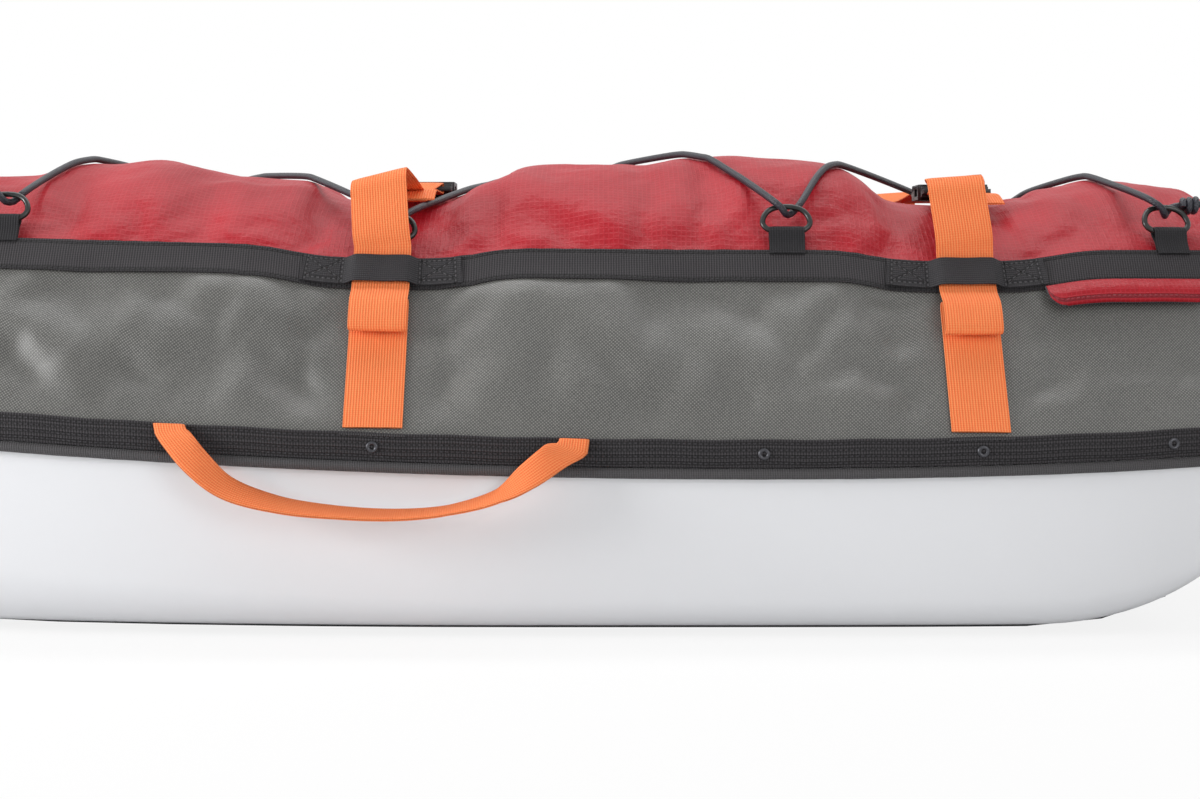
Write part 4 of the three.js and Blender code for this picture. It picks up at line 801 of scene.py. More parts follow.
def hull_section(x):
    breadth = half_breadth(x)
    low = keel(x)
    rim = sheer(x)
    knee = rim - HEM_HEIGHT
    start = BILGE_SPREAD_SHARE * LENGTH
    bow = min(1, max(0, (start - x) / (HALF_LENGTH + start))) ** 2
    radius = min(BILGE_RADIUS + bow * (BOW_BILGE_RADIUS - BILGE_RADIUS), 0.9 * (knee - low), breadth)

    def flare(z):
        return 1 - FLARE_SHARE * min(1, max(0, (knee - z) / (knee - low)))

    half = [(breadth, rim), (breadth, knee)]
    for step in range(1, HULL_SIDE_STEPS):
        z = knee + (low + radius - knee) * step / HULL_SIDE_STEPS
        half.append((breadth * flare(z), z))
    for step in range(HULL_BILGE_STEPS + 1):
        angle = math.pi / 2 * step / HULL_BILGE_STEPS
        z = low + radius * (1 - math.sin(angle))
        half.append(((breadth - radius * (1 - math.cos(angle))) * flare(z), z))
    edge = half[-1][0]
    half.extend((edge * (1 - step / HULL_FLOOR_STEPS), low) for step in range(1, HULL_FLOOR_STEPS))
    return half, low


def make_hull():
    xs = [corner["x"] for corner in outline(HULL_COUNT)[:HULL_COUNT // 2 + 1]]
    points = []
    for x in xs:
        half, low = hull_section(x)
        points.extend(Vector((x, -y, z)) for y, z in half)
        points.append(Vector((x, 0, low)))
        points.extend(Vector((x, y, z)) for y, z in reversed(half))
    faces = quads(len(xs), len(points) // len(xs), columns_closed=False)
    hull = outward(new_piece("hull", points, faces, "hull", smooth=ROUND_SMOOTH))
    down = sum(face.normal.z for face in hull.data.polygons if face.center.z < HULL_FLOOR_Z)
    if down > 0:
        edit_all(hull, (bpy.ops.mesh.flip_normals, {}))
    apply_modifier(hull, "SOLIDIFY", "wall", thickness=HULL_WALL, offset=-1)
    return finish_piece(hull, replaced=("hull_shell",))


make_hull()

# Hem band with its stitch rows, and the piping roll under it
HEM_RISE = 0.0004
HEM_WAVE = 0.0003
HEM_WAVE_SCALE = 90
CORNER_STEPS = 3
PIPING_RADIUS = 0.0037
PIPING_SIDES = 12
PIPING_CREASE = 0.0002
PIPING_CREASE_SCALE = 60


def rounded(low_drop, high_drop, near, far, place):
    """Points round a flat strip's section, with softened corners."""
    corner = min(far - near, low_drop - high_drop) * 0.35
    section = []
    corners = ((high_drop + corner, far - corner), (low_drop - corner, far - corner),
               (low_drop - corner, near + corner), (high_drop + corner, near + corner))
    for quarter, (drop, out) in enumerate(corners):
        for step in range(CORNER_STEPS):
            turn = quarter * math.pi / 2 + math.pi / 2 * (step / (CORNER_STEPS - 1))
            section.append(place(drop - corner * math.cos(turn), out + corner * math.sin(turn)))
    return section


def hem_profile(corner):
    top = HEM_WAVE * math.sin(corner["x"] * HEM_WAVE_SCALE)
    return rounded(BAND_HEIGHT, -HEM_RISE + top, BAND_D, BAND_D + BAND_T,
                   lambda drop, out: rim_corner(corner, drop, out))


finish_piece(around("hem", hem_profile, "hem"), replaced=("hem_band",))


def piping_profile(corner):
    drop = BAND_HEIGHT + GAP + PIPING_RADIUS
    scale = PIPING_CREASE_SCALE
    crease = PIPING_CREASE * noise.noise(Vector((corner["x"] * scale, corner["y"] * scale, 0)))
    radius = PIPING_RADIUS + crease
    section = []
    for step in range(PIPING_SIDES):
        turn = 2 * math.pi * step / PIPING_SIDES
        out = GAP + radius * (1 + math.sin(turn))
        section.append(rim_corner(corner, drop - radius * math.cos(turn), out))
    return section


hem_roll = around("hem_roll", piping_profile, "piping", smooth=ROUND_SMOOTH)
finish_piece(hem_roll, replaced=("hem_piping",))

# Bag: wall and cover are one cloth, blown out by its load and held at rim, trim, straps and tabs
BAG_COUNT = 500
WALL_ROWS = 12
DOME_ROWS = 23
MIDDLE_SHARE = 0.985
WALL_CAP = 0.004
DOME_CAP = 0.0045
FOLD_CAP = 0.0045
SEAM_SHARE = 0.3
SEAM_ROW = WALL_ROWS + 1
TOP_ROW = WALL_ROWS + 2
LAST_ROW = TOP_ROW + DOME_ROWS
LOAD_FRAMES = 22
# Zip: its middle as a share of the length and of the wall's height
ZIP_SHARE = 0.395
ZIP_HEIGHT = 0.7
# Tabs of the rings: share of the length, and side
RING_SHARES = ((-0.2078, PORT), (0.0039, PORT), (0.2194, PORT), (0.431, PORT),
               (-0.3705, STARBOARD), (-0.1434, STARBOARD), (0.0822, STARBOARD), (0.3682, STARBOARD))
# Distance within which the cloth is held fast, and beyond which it is free
STRAP_HOLD = (0.021, 0.05)
BUCKLE_HOLD = (0.04, 0.07)
TAB_HOLD = (0.02, 0.05)
ZIP_HOLD = (0.045, 0.075)
RIM_HOLD_ROWS = (1, 3.5)
END_HOLD = (0.93 * HALF_LENGTH, 0.99 * HALF_LENGTH)
SEAM_HOLD = 0.6
# Under the rim the wall starts this far down; over the load the rows close in on a line along the middle
SKIRT_TUCK = 0.005
SPINE_LOW = -0.8 * HALF_LENGTH
SPINE_HIGH = 0.86 * HALF_LENGTH
DOME_SPREAD = 1.15
# Columns and rows on each side over which the load's push is averaged
BLUR_COLUMNS = 9
BLUR_ROWS = 3
# Small swells of the cloth: height and scale
WALL_SWELL = (0.002, 22)
COVER_SWELLS = ((0.003, 13), (0.0014, 34))
COVER_SINK = 0.001
SWELL_REACH = 0.03
# How the load acts on the cloth
LOAD = {"quality": 5, "mass": 0.12, "tension_stiffness": 12, "compression_stiffness": 6, "shear_stiffness": 4,
        "bending_stiffness": 0.05, "vertex_group_mass": "held", "pin_stiffness": 2.5, "use_pressure": True,
        "uniform_pressure_force": 0.9, "shrink_min": -0.045}
BAG_MERGE = 0.0002
PROBE_Z = 0.6

# Folds: start and end, each a share of the length from a strap and a height on the wall, and depth
FOLDS = ((0.018, 0.17, 0.058, 0.38, 0.005), (0.105, 0.5, 0.158, 0.04, 0.0055),
         (0.148, 0.6, 0.214, 0.05, 0.0045), (0.066, 0.86, 0.04, 0.56, 0.0035),
         (-0.018, 0.13, -0.07, 0.44, 0.0055), (-0.02, 0.62, -0.085, 0.3, 0.004),
         (-0.1, 0.86, -0.13, 0.42, 0.004), (-0.03, 0.88, -0.06, 0.66, 0.0035))
FOLD_WIDTH = 0.0085
FOLD_IN = (-0.15, 0.25)
FOLD_OUT = (0.6, 1.15)
PUCKER_DEPTH = 0.0055
PUCKER_REACH = 0.03
PUCKER_START = 0.006
PUCKER_PITCH = 0.014
PUCKER_STRETCH = 0.35


def soft_step(value, low, high):
    share = min(1, max(0, (value - low) / (high - low)))
    return share * share * (3 - 2 * share)


def trim_low(corner):
    top = wall_point(corner["x"], corner["y"], 1)
    low = wall_point(corner["x"], corner["y"], 1 - REACH_SHARE)
    return 1 - TRIM_WIDTH * REACH_SHARE / (top - low).length


def bag_rows():
    """Rest places of the bag, row by row from the rim up, and over the cover to its middle line."""
    corners = outline(BAG_COUNT)
    rows = [[rim_corner(corner, SKIRT_TUCK, GAP + CLOTH_T / 2) for corner in corners]]
    for row in range(WALL_ROWS):
        share = row / (WALL_ROWS - 1)
        rows.append([wall_corner(corner, share * trim_low(corner), GAP + CLOTH_T / 2) for corner in corners])
    rows.append([wall_corner(corner, (1 + trim_low(corner)) / 2, GAP + CLOTH_T / 2) for corner in corners])
    rows.append([wall_corner(corner, 1, GAP + COVER_T / 2) for corner in corners])
    edge = rows[-1]
    for row in range(1, DOME_ROWS + 1):
        share = MIDDLE_SHARE * (row / DOME_ROWS) ** DOME_SPREAD
        line = []
        for point in edge:
            spine = min(max(point.x, SPINE_LOW), SPINE_HIGH)
            x = point.x + (spine - point.x) * share
            y = point.y * (1 - share)
            line.append(Vector((x, y, dome(x, y))))
        rows.append(line)
    return rows


def hold(point, row):
    """How firmly a point is held to its rest place: 1 near straps, buckles, tabs and zip, less elsewhere."""
    near = max(1 - soft_step(abs(point.x - strap["x"]), *STRAP_HOLD) for strap in STRAPS.values())
    buckle = max(1 - soft_step(math.hypot(point.x - strap["x"] - strap["shift"], point.y), *BUCKLE_HOLD)
                 for strap in STRAPS.values())
    tabs = max(1 - soft_step((point - side_at(side, share * LENGTH, 1)).length, *TAB_HOLD)
               for share, side in RING_SHARES)
    zipped = 1 - soft_step((point - side_at(PORT, ZIP_SHARE * LENGTH, ZIP_HEIGHT)).length, *ZIP_HOLD)
    rim = 1 - soft_step(row, *RIM_HOLD_ROWS)
    ends = soft_step(abs(point.x), *END_HOLD)
    return max(near, buckle, tabs, zipped, rim, ends)


def make_bag():
    rows = bag_rows()
    points = [point for row in rows for point in row]
    mesh = bpy.data.meshes.new("bag")
    mesh.from_pydata([tuple(point) for point in points], [], quads(len(rows), BAG_COUNT))
    bag = new_object("bag", mesh)
    rest = [vertex.co.copy() for vertex in mesh.vertices]
    inflate(bag, rest)
    shape = (LAST_ROW + 1, BAG_COUNT, 3)
    places = numpy.array([tuple(point) for point in rest]).reshape(shape)
    moves = numpy.array([tuple(vertex.co) for vertex in mesh.vertices]).reshape(shape) - places
    broad = blurred(moves)
    free = [1 - hold(point, index // BAG_COUNT) for index, point in enumerate(rest)]
    free = numpy.array(free).reshape(shape[:2])
    free[WALL_ROWS:TOP_ROW + 1] *= SEAM_SHARE
    caps = numpy.where(numpy.arange(LAST_ROW + 1) > TOP_ROW, DOME_CAP, WALL_CAP)[:, None]
    creases = numpy.array([tuple(creased(rest, index)) for index in range(len(rest))]).reshape(shape)
    places += (limited(broad, caps) + limited(moves - broad, FOLD_CAP) + creases) * free[:, :, None]
    places[LAST_ROW] = (places[LAST_ROW] + numpy.roll(places[LAST_ROW][::-1], 1, axis=0)) / 2
    for vertex, place in zip(mesh.vertices, places.reshape(-1, 3)):
        vertex.co = place
    mesh.update()
    return bag, rest


def blurred(values):
    """Averages over near columns, round the bag, and near rows."""
    shifts = range(-BLUR_COLUMNS, BLUR_COLUMNS + 1)
    across = sum(numpy.roll(values, step, axis=1) for step in shifts) / len(shifts)
    padded = numpy.pad(across, ((BLUR_ROWS, BLUR_ROWS), (0, 0), (0, 0)), mode="edge")
    count = 2 * BLUR_ROWS + 1
    return sum(padded[step:step + len(values)] for step in range(count)) / count


def fold_depth(x, height, side):
    """How far the wall is drawn in by the folds that run from the straps."""
    depth = 0.0
    for strap in STRAPS.values():
        away = (x - strap["x"]) * (1 if side < 0 else -1)
        for start, low, end, high, deep in FOLDS:
            line = Vector(((end - start) * LENGTH, (high - low) * (TRIM_TOP - SHEER_LOW)))
            place = Vector((away - start * LENGTH, (height - low) * (TRIM_TOP - SHEER_LOW)))
            share = place.dot(line) / line.length_squared
            across = (place - line * share).length
            taper = soft_step(share, *FOLD_IN) * (1 - soft_step(share, *FOLD_OUT))
            depth += deep * taper * math.exp(-(across / FOLD_WIDTH) ** 2)
    return depth


def creased(rest, index):
    """Move of a point of the bag by its folds and by the puckers along the seam of the cover."""
    row = index // BAG_COUNT
    point = rest[index]
    if row < SEAM_ROW:
        height = (point.z - sheer(point.x)) / (trim_top(point.x) - sheer(point.x))
        inward = Vector((0, -math.copysign(1, point.y), 0))
        size, scale = WALL_SWELL
        swell = size * noise.noise(point * scale)
        return inward * (fold_depth(point.x, height, point.y) + swell)
    if row > TOP_ROW:
        place = index % BAG_COUNT
        reach = (point - rest[TOP_ROW * BAG_COUNT + place]).length
        along = rest[TOP_ROW * BAG_COUNT + place] / PUCKER_PITCH
        pucker = abs(noise.noise(Vector((along.x, along.y, reach / PUCKER_PITCH * PUCKER_STRETCH))))
        fade = math.exp(-reach / PUCKER_REACH) * soft_step(reach, 0, PUCKER_START)
        swell = sum(size * noise.noise(point * scale) for size, scale in COVER_SWELLS) - COVER_SINK
        return UP * (swell * soft_step(reach, 0, SWELL_REACH) - PUCKER_DEPTH * pucker * fade)
    return Vector()


def limited(moves, cap):
    """Moves that come near a cap are eased off before it."""
    size = numpy.linalg.norm(moves, axis=2)
    return moves * (numpy.tanh(size / cap) * cap / numpy.maximum(size, 1e-9))[:, :, None]


def inflate(bag, rest):
    """Lets the load push the cloth out between the places that hold it, and keeps the result."""
    held = bag.vertex_groups.new(name="held")
    for index, point in enumerate(rest):
        row = index // BAG_COUNT
        weight = 1.0 if row <= 1 else hold(point, row)
        if SEAM_ROW <= row <= TOP_ROW:
            weight = max(weight, SEAM_HOLD)
        held.add([index], weight, "REPLACE")
    cloth = bag.modifiers.new("load", "CLOTH")
    for name, value in LOAD.items():
        setattr(cloth.settings, name, value)
    cloth.settings.effector_weights.gravity = 0
    cloth.collision_settings.use_collision = False
    cloth.point_cache.frame_start = 1
    cloth.point_cache.frame_end = LOAD_FRAMES
    for step in range(1, LOAD_FRAMES + 1):
        bpy.context.scene.frame_set(step)
    choose(bag)
    bpy.ops.object.modifier_apply(modifier=cloth.name)
    bpy.context.scene.frame_set(1)


bag, bag_rest = make_bag()
bag_points = [vertex.co.copy() for vertex in bag.data.vertices]
bag_tree = BVHTree.FromObject(bag, bpy.context.evaluated_depsgraph_get())
bpy.data.objects.remove(bag)


def cloth_height(x, y):
    """Height of the cover's outer face over a place in the plan."""
    found = bag_tree.ray_cast(Vector((x, y, PROBE_Z)), -UP)
    return (found[0].z if found[0] else dome(x, y)) + COVER_T / 2


def bag_part(name, first, last, finish, thickness):
    """The bag's rows from first to last as one sheet, with a wall and finer facets."""
    points = bag_points[first * BAG_COUNT:(last + 1) * BAG_COUNT]
    run = plan_run(outline(BAG_COUNT))
    uvs = []
    rise = [0.0] * BAG_COUNT
    for row in range(last - first + 1):
        for place in range(BAG_COUNT):
            index = row * BAG_COUNT + place
            if row:
                rise[place] += (points[index] - points[index - BAG_COUNT]).length
            plan = (bag_rest[first * BAG_COUNT + index].x, bag_rest[first * BAG_COUNT + index].y)
            uvs.append(plan if finish == "ripstop" else (run[place], rise[place]))
    sheet = new_piece(name, points, quads(last - first + 1, BAG_COUNT), finish, uvs, smooth=CLOTH_SMOOTH)
    edit_all(sheet, (bpy.ops.mesh.remove_doubles, {"threshold": BAG_MERGE}))
    apply_modifier(sheet, "SUBSURF", "fine", levels=1, render_levels=1)
    apply_modifier(sheet, "SOLIDIFY", "wall", thickness=thickness, offset=0)
    return sheet


skirt = bag_part("skirt", 0, SEAM_ROW, "twill", CLOTH_T)
finish_piece(skirt, replaced=("side_skirt",))
cover = bag_part("cover", SEAM_ROW, LAST_ROW, "ripstop", COVER_T)
finish_piece(cover, replaced=("top_cover_port", "top_cover_starboard"))


TRIM_OVERHANG = 0.03


def make_trim():
    """Webbing over the seam of wall and cover, following the cloth as it lies."""
    rings = []
    lengths = [0.0]
    for place in range(BAG_COUNT):
        rows = [bag_points[row * BAG_COUNT + place] for row in (WALL_ROWS, SEAM_ROW, TOP_ROW)]
        ahead = bag_points[SEAM_ROW * BAG_COUNT + (place + 1) % BAG_COUNT]
        behind = bag_points[SEAM_ROW * BAG_COUNT + place - 1]
        out = (ahead - behind).cross(rows[2] - rows[0]).normalized()
        if place:
            lengths.append(lengths[-1] + (rows[1] - bag_points[SEAM_ROW * BAG_COUNT + place - 1]).length)
        near = TRIM_D - GAP - CLOTH_T / 2
        far = near + TRIM_T
        outer = [point + out * far for point in rows]
        inner = [point + out * near for point in rows]
        low_edge = rows[0].lerp(rows[1], -TRIM_OVERHANG) + out * (near + far) / 2
        high_edge = rows[2].lerp(rows[1], -TRIM_OVERHANG) + out * (near + far) / 2
        quarter = [outer[0].lerp(outer[1], 0.5), outer[1].lerp(outer[2], 0.5)]
        rings.append([low_edge, outer[0], quarter[0], outer[1], quarter[1], outer[2], high_edge,
                      inner[2], inner[1], inner[0]])
    trim = swept("trim", rings, "trim", lengths, closed=True, smooth=ROUND_SMOOTH)
    return finish_piece(trim, replaced=("top_trim",))


make_trim()

# Rivets: rolled heads with a hollow eye, on the batten inside
RIVET_SHARES = (-0.417, -0.316, -0.215, -0.108, 0, 0.1065, 0.2027, 0.3163, 0.417)
RIVET_DROP = 0.0093
RIVET_SIDES = 28
RIVET_HEAD = 0.0041
RIVET_EDGE = 0.0005
RIVET_SHANK = 0.0017
RIVET_TAIL = 0.0045
RIVET_EYE = 0.0018
# Steps of the head from its edge to its eye: how far each goes in, and how far it rises
RIVET_STEPS = ((0.0003, 0.0004), (0.0004, 0.0003), (0.0006, 0.0001), (0.0006, -0.0002), (0.0005, -0.0005))
# Batten: how far it runs past the last rivets, half its width, and its thickness
BATTEN_END = 0.012
BATTEN_HALF = 0.006
BATTEN_T = 0.002
BATTEN_STEPS = 120


def rim_frame(side, x, drop, distance):
    behind = Vector((x - REACH_ALONG, side * half_breadth(x - REACH_ALONG), 0))
    ahead = Vector((x + REACH_ALONG, side * half_breadth(x + REACH_ALONG), 0))
    along = (ahead - behind).normalized()
    out = along.cross(UP) * -side
    origin = Vector((x, side * half_breadth(x), sheer(x) - drop)) + out * distance
    return {"origin": origin, "along": along, "up": UP.copy(), "out": out}


def pick(piece, wanted):
    """Opens a piece in edit mode with only the wanted faces selected."""
    choose(piece)
    bpy.ops.object.mode_set(mode="EDIT")
    bpy.ops.mesh.select_mode(type="FACE")
    bpy.ops.mesh.select_all(action="DESELECT")
    bpy.ops.object.mode_set(mode="OBJECT")
    for face in piece.data.polygons:
        face.select = wanted(face)
    bpy.ops.object.mode_set(mode="EDIT")


def make_rivet():
    """One rivet at the origin with its head along +Z, shaped from a disc."""
    bpy.ops.object.select_all(action="DESELECT")
    bpy.ops.mesh.primitive_cylinder_add(vertices=RIVET_SIDES, radius=RIVET_HEAD, depth=RIVET_EDGE,
                                        location=(0, 0, RIVET_EDGE / 2))
    rivet = bpy.context.view_layer.objects.active
    bpy.ops.object.transform_apply(location=True)
    pick(rivet, lambda face: face.normal.z > 0.5)
    for inward, rise in RIVET_STEPS:
        bpy.ops.mesh.inset(thickness=inward, depth=rise)
    bpy.ops.mesh.extrude_region_move(TRANSFORM_OT_translate={"value": (0, 0, -RIVET_EYE)})
    bpy.ops.object.mode_set(mode="OBJECT")
    pick(rivet, lambda face: face.normal.z < -0.5 and face.center.z < RIVET_EDGE / 2)
    bpy.ops.mesh.inset(thickness=RIVET_HEAD - RIVET_SHANK, depth=0)
    tail = -BAND_D - BAND_T - RIVET_TAIL
    bpy.ops.mesh.extrude_region_move(TRANSFORM_OT_translate={"value": (0, 0, tail)})
    bpy.ops.object.mode_set(mode="OBJECT")
    rivet.data.materials.append(FINISHES["rivet"])
    choose(rivet)
    bpy.ops.object.shade_smooth_by_angle(angle=math.radians(RIVET_SMOOTH))
    return rivet


def make_rivets(name, side):
    seat = BAND_D + BAND_T
    heads = []
    for index, share in enumerate(RIVET_SHARES):
        place = rim_frame(side, share * LENGTH, RIVET_DROP, seat)
        turn = Matrix((place["along"] * -side, place["up"], place["out"])).transposed().to_4x4()
        head = new_object(f"rivet_{name}_{index}", rivet.data.copy())
        head.data.transform(Matrix.Translation(place["origin"]) @ turn)
        heads.append(head)
    low = RIVET_SHARES[0] * LENGTH - BATTEN_END
    high = RIVET_SHARES[-1] * LENGTH + BATTEN_END
    section = ((BATTEN_HALF, 0), (BATTEN_HALF, -BATTEN_T), (-BATTEN_HALF, -BATTEN_T), (-BATTEN_HALF, 0))
    rings = []
    for step in range(BATTEN_STEPS + 1):
        x = low + (high - low) * step / BATTEN_STEPS
        place = rim_frame(side, x, RIVET_DROP, -HULL_WALL - GAP)
        rings.append([at(place, 0, up, out) for up, out in section])
    batten = swept(f"rivet_row_{name}", rings, "buckle")
    choose(batten, *heads)
    bpy.ops.object.join()
    return finish_piece(batten, replaced=(f"rivet_strip_{name}",))


rivet = make_rivet()
for side_name, side in SIDES:
    make_rivets(side_name, side)
bpy.data.objects.remove(rivet)

# Straps: webbing from the rim, folded and held by keepers, up over the load to the buckles
STRAP_WIDTH = 0.04
STRAP_T = 0.0016
STRAP_REST_D = 0.004
STRAP_TRIM_D = 0.007
STRAP_TOP_D = 0.0086
STRAP_RISE = 0.003
STRAP_START = 0.0016
STRAP_SAG = 0.008
FOLD_DROP = 0.014
FOLD_LENGTH = 0.022
FOLD_TURN = 0.0024
FOLD_BULGE = 0.0032
ARCH_INSET = 0.013
ARCH_RISE = 0.061
ARCH_ROUND = 0.008
ARCH_LEAN = -0.004
TAIL_INSET = 0.053
TAIL_LIFT = 0.013
BAR_Y = 0.0315
BAR_WIDTH = 0.005
BAR_T = 0.0035
STRAP_PITCH = 0.0025
# The port strap's loose tail over the cover, as shares of the way from the middle
TAIL_SHARES = (0.45, 0.62, 0.82, 1)


def strap_wall(side, strap, folded):
    slope = wall_frame(side, strap["x"], 0.5)["slope"]
    low = STRAP_REST_D
    top = slope - TRIM_WIDTH - FOLD_DROP
    foot = top - FOLD_LENGTH
    turn = FOLD_TURN
    second = low + 2 * turn
    front = second + 2 * FOLD_BULGE
    if folded:
        rows = [(STRAP_START, low), (foot, low), (top, low), (top + 0.7 * turn, low + 0.3 * turn),
                (top + turn, low + turn), (top + 0.7 * turn, low + 1.7 * turn), (top, second), (foot, second),
                (foot - 0.7 * FOLD_BULGE, second + 0.3 * FOLD_BULGE),
                (foot - FOLD_BULGE, second + FOLD_BULGE),
                (foot - 0.7 * FOLD_BULGE, second + 1.7 * FOLD_BULGE), (foot, front),
                (foot + FOLD_LENGTH / 2, front + turn / 4), (top - turn, front - turn / 4)]
    else:
        rows = [(STRAP_START, low), (slope * 0.4, low), (slope * 0.75, low)]
    rows += [(slope - TRIM_WIDTH - STRAP_RISE / 2, STRAP_TRIM_D), (slope + STRAP_RISE / 2, STRAP_TRIM_D),
             (slope + 2 * STRAP_RISE, STRAP_TOP_D)]
    places = []
    for up, out in rows:
        place = wall_frame(side, strap["x"], min(up / slope, 1))
        places.append((at(place, 0, max(up - slope, 0), out), place["along"]))
    return places


def strap_top(side, strap, folded, centre):
    peak = trim_top(strap["x"]) + ARCH_RISE
    over = BAR_T / 2 + GAP + STRAP_T
    middle = strap["x"] + strap["shift"]
    lean = strap["x"] + ARCH_LEAN
    trim_y = abs(side_at(side, strap["x"], 1).y)
    arch_y = trim_y - ARCH_INSET
    tilt = math.radians(strap["tilt"])
    tilted = Vector((math.cos(tilt), 0, math.sin(tilt)))
    half = Vector((math.cos(tilt / 2), 0, math.sin(tilt / 2)))
    level = Vector((1, 0, 0))
    turn = BAR_WIDTH / 2 + STRAP_T + GAP
    high = centre + over
    rows = [
        (arch_y + 2.35 * ARCH_ROUND, peak - 5.2 * ARCH_ROUND, strap["x"] + 0.2 * ARCH_LEAN, half),
        (arch_y + ARCH_ROUND, peak - 2 * ARCH_ROUND, strap["x"] + 0.8 * ARCH_LEAN, tilted),
        (arch_y + 0.45 * ARCH_ROUND, peak - 0.75 * ARCH_ROUND, lean, tilted),
        (arch_y - 0.3 * ARCH_ROUND, peak - 0.15 * ARCH_ROUND, lean, tilted),
        (arch_y - 1.3 * ARCH_ROUND, peak, lean, tilted),
        (arch_y * 0.82, high - 0.3 * STRAP_SAG, (3 * lean + middle) / 4, half),
        (arch_y * 0.55, high - STRAP_SAG, (lean + middle) / 2, level),
        (BAR_Y + turn, high, middle, level),
        (BAR_Y - 0.6 * turn, high, middle, level),
        (BAR_Y - turn, centre + 0.62 * over, middle, level),
        (BAR_Y - turn, centre - 0.62 * over, middle, level),
        (BAR_Y - 0.6 * turn, centre - over, middle, level),
        (BAR_Y + turn, centre - over, middle, level),
    ]
    if folded:
        for share in TAIL_SHARES:
            out = (trim_y - TAIL_INSET) * share
            cloth = max(dome(middle + place * STRAP_WIDTH, out) for place in (-0.5, 0, 0.5)) + COVER_T / 2
            rows.append((out, min(cloth + TAIL_LIFT, centre - over), middle, level))
    else:
        rows.append((BAR_Y + 2.4 * turn, centre - over, middle, level))
    return [(Vector((x, side * out, z)), width) for out, z, x, width in rows]


def make_strap(name, side_name, side):
    strap = STRAPS[name]
    folded = side == PORT
    low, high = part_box(f"buckle_socket_{name}")
    places = strap_wall(side, strap, folded) + strap_top(side, strap, folded, (low.z + high.z) / 2)
    node = f"strap_{name}_{side_name}"
    piece = band(f"{node}_web", [point for point, _ in places], [width for _, width in places],
                 STRAP_WIDTH, STRAP_T, "strap", pitch=STRAP_PITCH)
    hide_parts(node)
    if folded:
        middle = strap["x"] + strap["shift"]
        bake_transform(piece)
    else:
        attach(piece, "sled")
    return piece


KEEPER_LENGTH = 0.112
KEEPER_WIDTH = 0.022
KEEPER_T = 0.0015
KEEPER_LIFT = 0.0013
KEEPER_PITCH = 0.002


def make_keeper(name, side_name, side):
    strap = STRAPS[name]
    raised = STRAP_TRIM_D + STRAP_T / 2 + KEEPER_LIFT + KEEPER_T / 2
    flat = TRIM_D + TRIM_T + GAP + KEEPER_T / 2
    gap = STRAP_WIDTH / 2 + 4 * GAP + KEEPER_T / 2
    end = KEEPER_LENGTH / 2
    rows = [(-end, flat), (-STRAP_WIDTH, flat), (-gap - 2.5 * KEEPER_T, flat), (-gap, (raised + flat) / 2),
            (-gap + 2 * KEEPER_T, raised), (0, raised), (gap - 2 * KEEPER_T, raised),
            (gap, (raised + flat) / 2), (gap + 2.5 * KEEPER_T, flat), (STRAP_WIDTH, flat), (end, flat)]
    slope = wall_frame(side, strap["x"], 0.5)["slope"]
    height = 1 - TRIM_WIDTH / 2 / slope
    places = [wall_frame(side, strap["x"] + along, height, KEEPER_T) for along, _ in rows]
    points = [at(place, 0, 0, out) for place, (_, out) in zip(places, rows)]
    node = f"keeper_{name}_{side_name}"
    piece = band(f"{node}_web", points, [place["up"] for place in places], KEEPER_WIDTH, KEEPER_T, "keeper",
                 pitch=KEEPER_PITCH)
    return finish_piece(piece, replaced=(node,))


BAR_TACK_REACH = 0.022
BAR_TACK_DROP = 0.0011
BAR_TACK_WIDTH = 0.0015
BAR_TACK_T = 0.0006
BAR_TACK_STEPS = 6


def make_bar_tack(name, side_name, side):
    """The row of thick stitches that holds a strap's lower end to the hem."""
    points = []
    for step in range(-BAR_TACK_STEPS, BAR_TACK_STEPS + 1):
        x = STRAPS[name]["x"] + BAR_TACK_REACH * step / BAR_TACK_STEPS
        points.append(at(rim_frame(side, x, BAR_TACK_DROP, BAND_D + BAND_T), 0, 0, BAR_TACK_T / 2))
    piece = band(f"bar_tack_{name}_{side_name}", points, [UP] * len(points),
                 BAR_TACK_WIDTH, BAR_TACK_T, "bar")
    return finish_piece(piece)


for side_name, side in SIDES:
    for strap_name in STRAPS:
        make_strap(strap_name, side_name, side)
        make_keeper(strap_name, side_name, side)
        make_bar_tack(strap_name, side_name, side)


# Moulded and cut pieces keep the frame's shapes, with their edges eased by these widths
SOCKET_EASE = 0.0008
TONGUE_EASE = 0.0006
CLEVIS_EASE = 0.0005
PIN_EASE = 0.0003
EASE_SEGMENTS = 2
# Turns under which faces are one, over which edges are eased, and over which they are shaded sharp
FLAT_ANGLE = math.radians(1.5)
EASE_ANGLE = math.radians(28)
SHARP_ANGLE = math.radians(32)


def eased_copy(node, finish, body, width):
    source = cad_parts[node]
    piece = source.copy()
    piece.data = source.data.copy()
    piece.name = f"{node}_eased"
    piece.parent = None
    piece.matrix_world = Matrix.Identity(4)
    for key in list(piece.keys()):
        del piece[key]
    bpy.context.scene.collection.objects.link(piece)
    piece.data.materials.clear()
    piece.data.materials.append(FINISHES[finish])
    edit_all(piece, (bpy.ops.mesh.remove_doubles, {"threshold": MERGE}),
             (bpy.ops.mesh.dissolve_limited, {"angle_limit": FLAT_ANGLE}))
    apply_modifier(piece, "BEVEL", "edges", width=width, segments=EASE_SEGMENTS, limit_method="ANGLE",
                   angle_limit=EASE_ANGLE, use_clamp_overlap=True)
    choose(piece)
    bpy.ops.object.shade_smooth_by_angle(angle=SHARP_ANGLE)
    return finish_piece(piece, body, (node,))


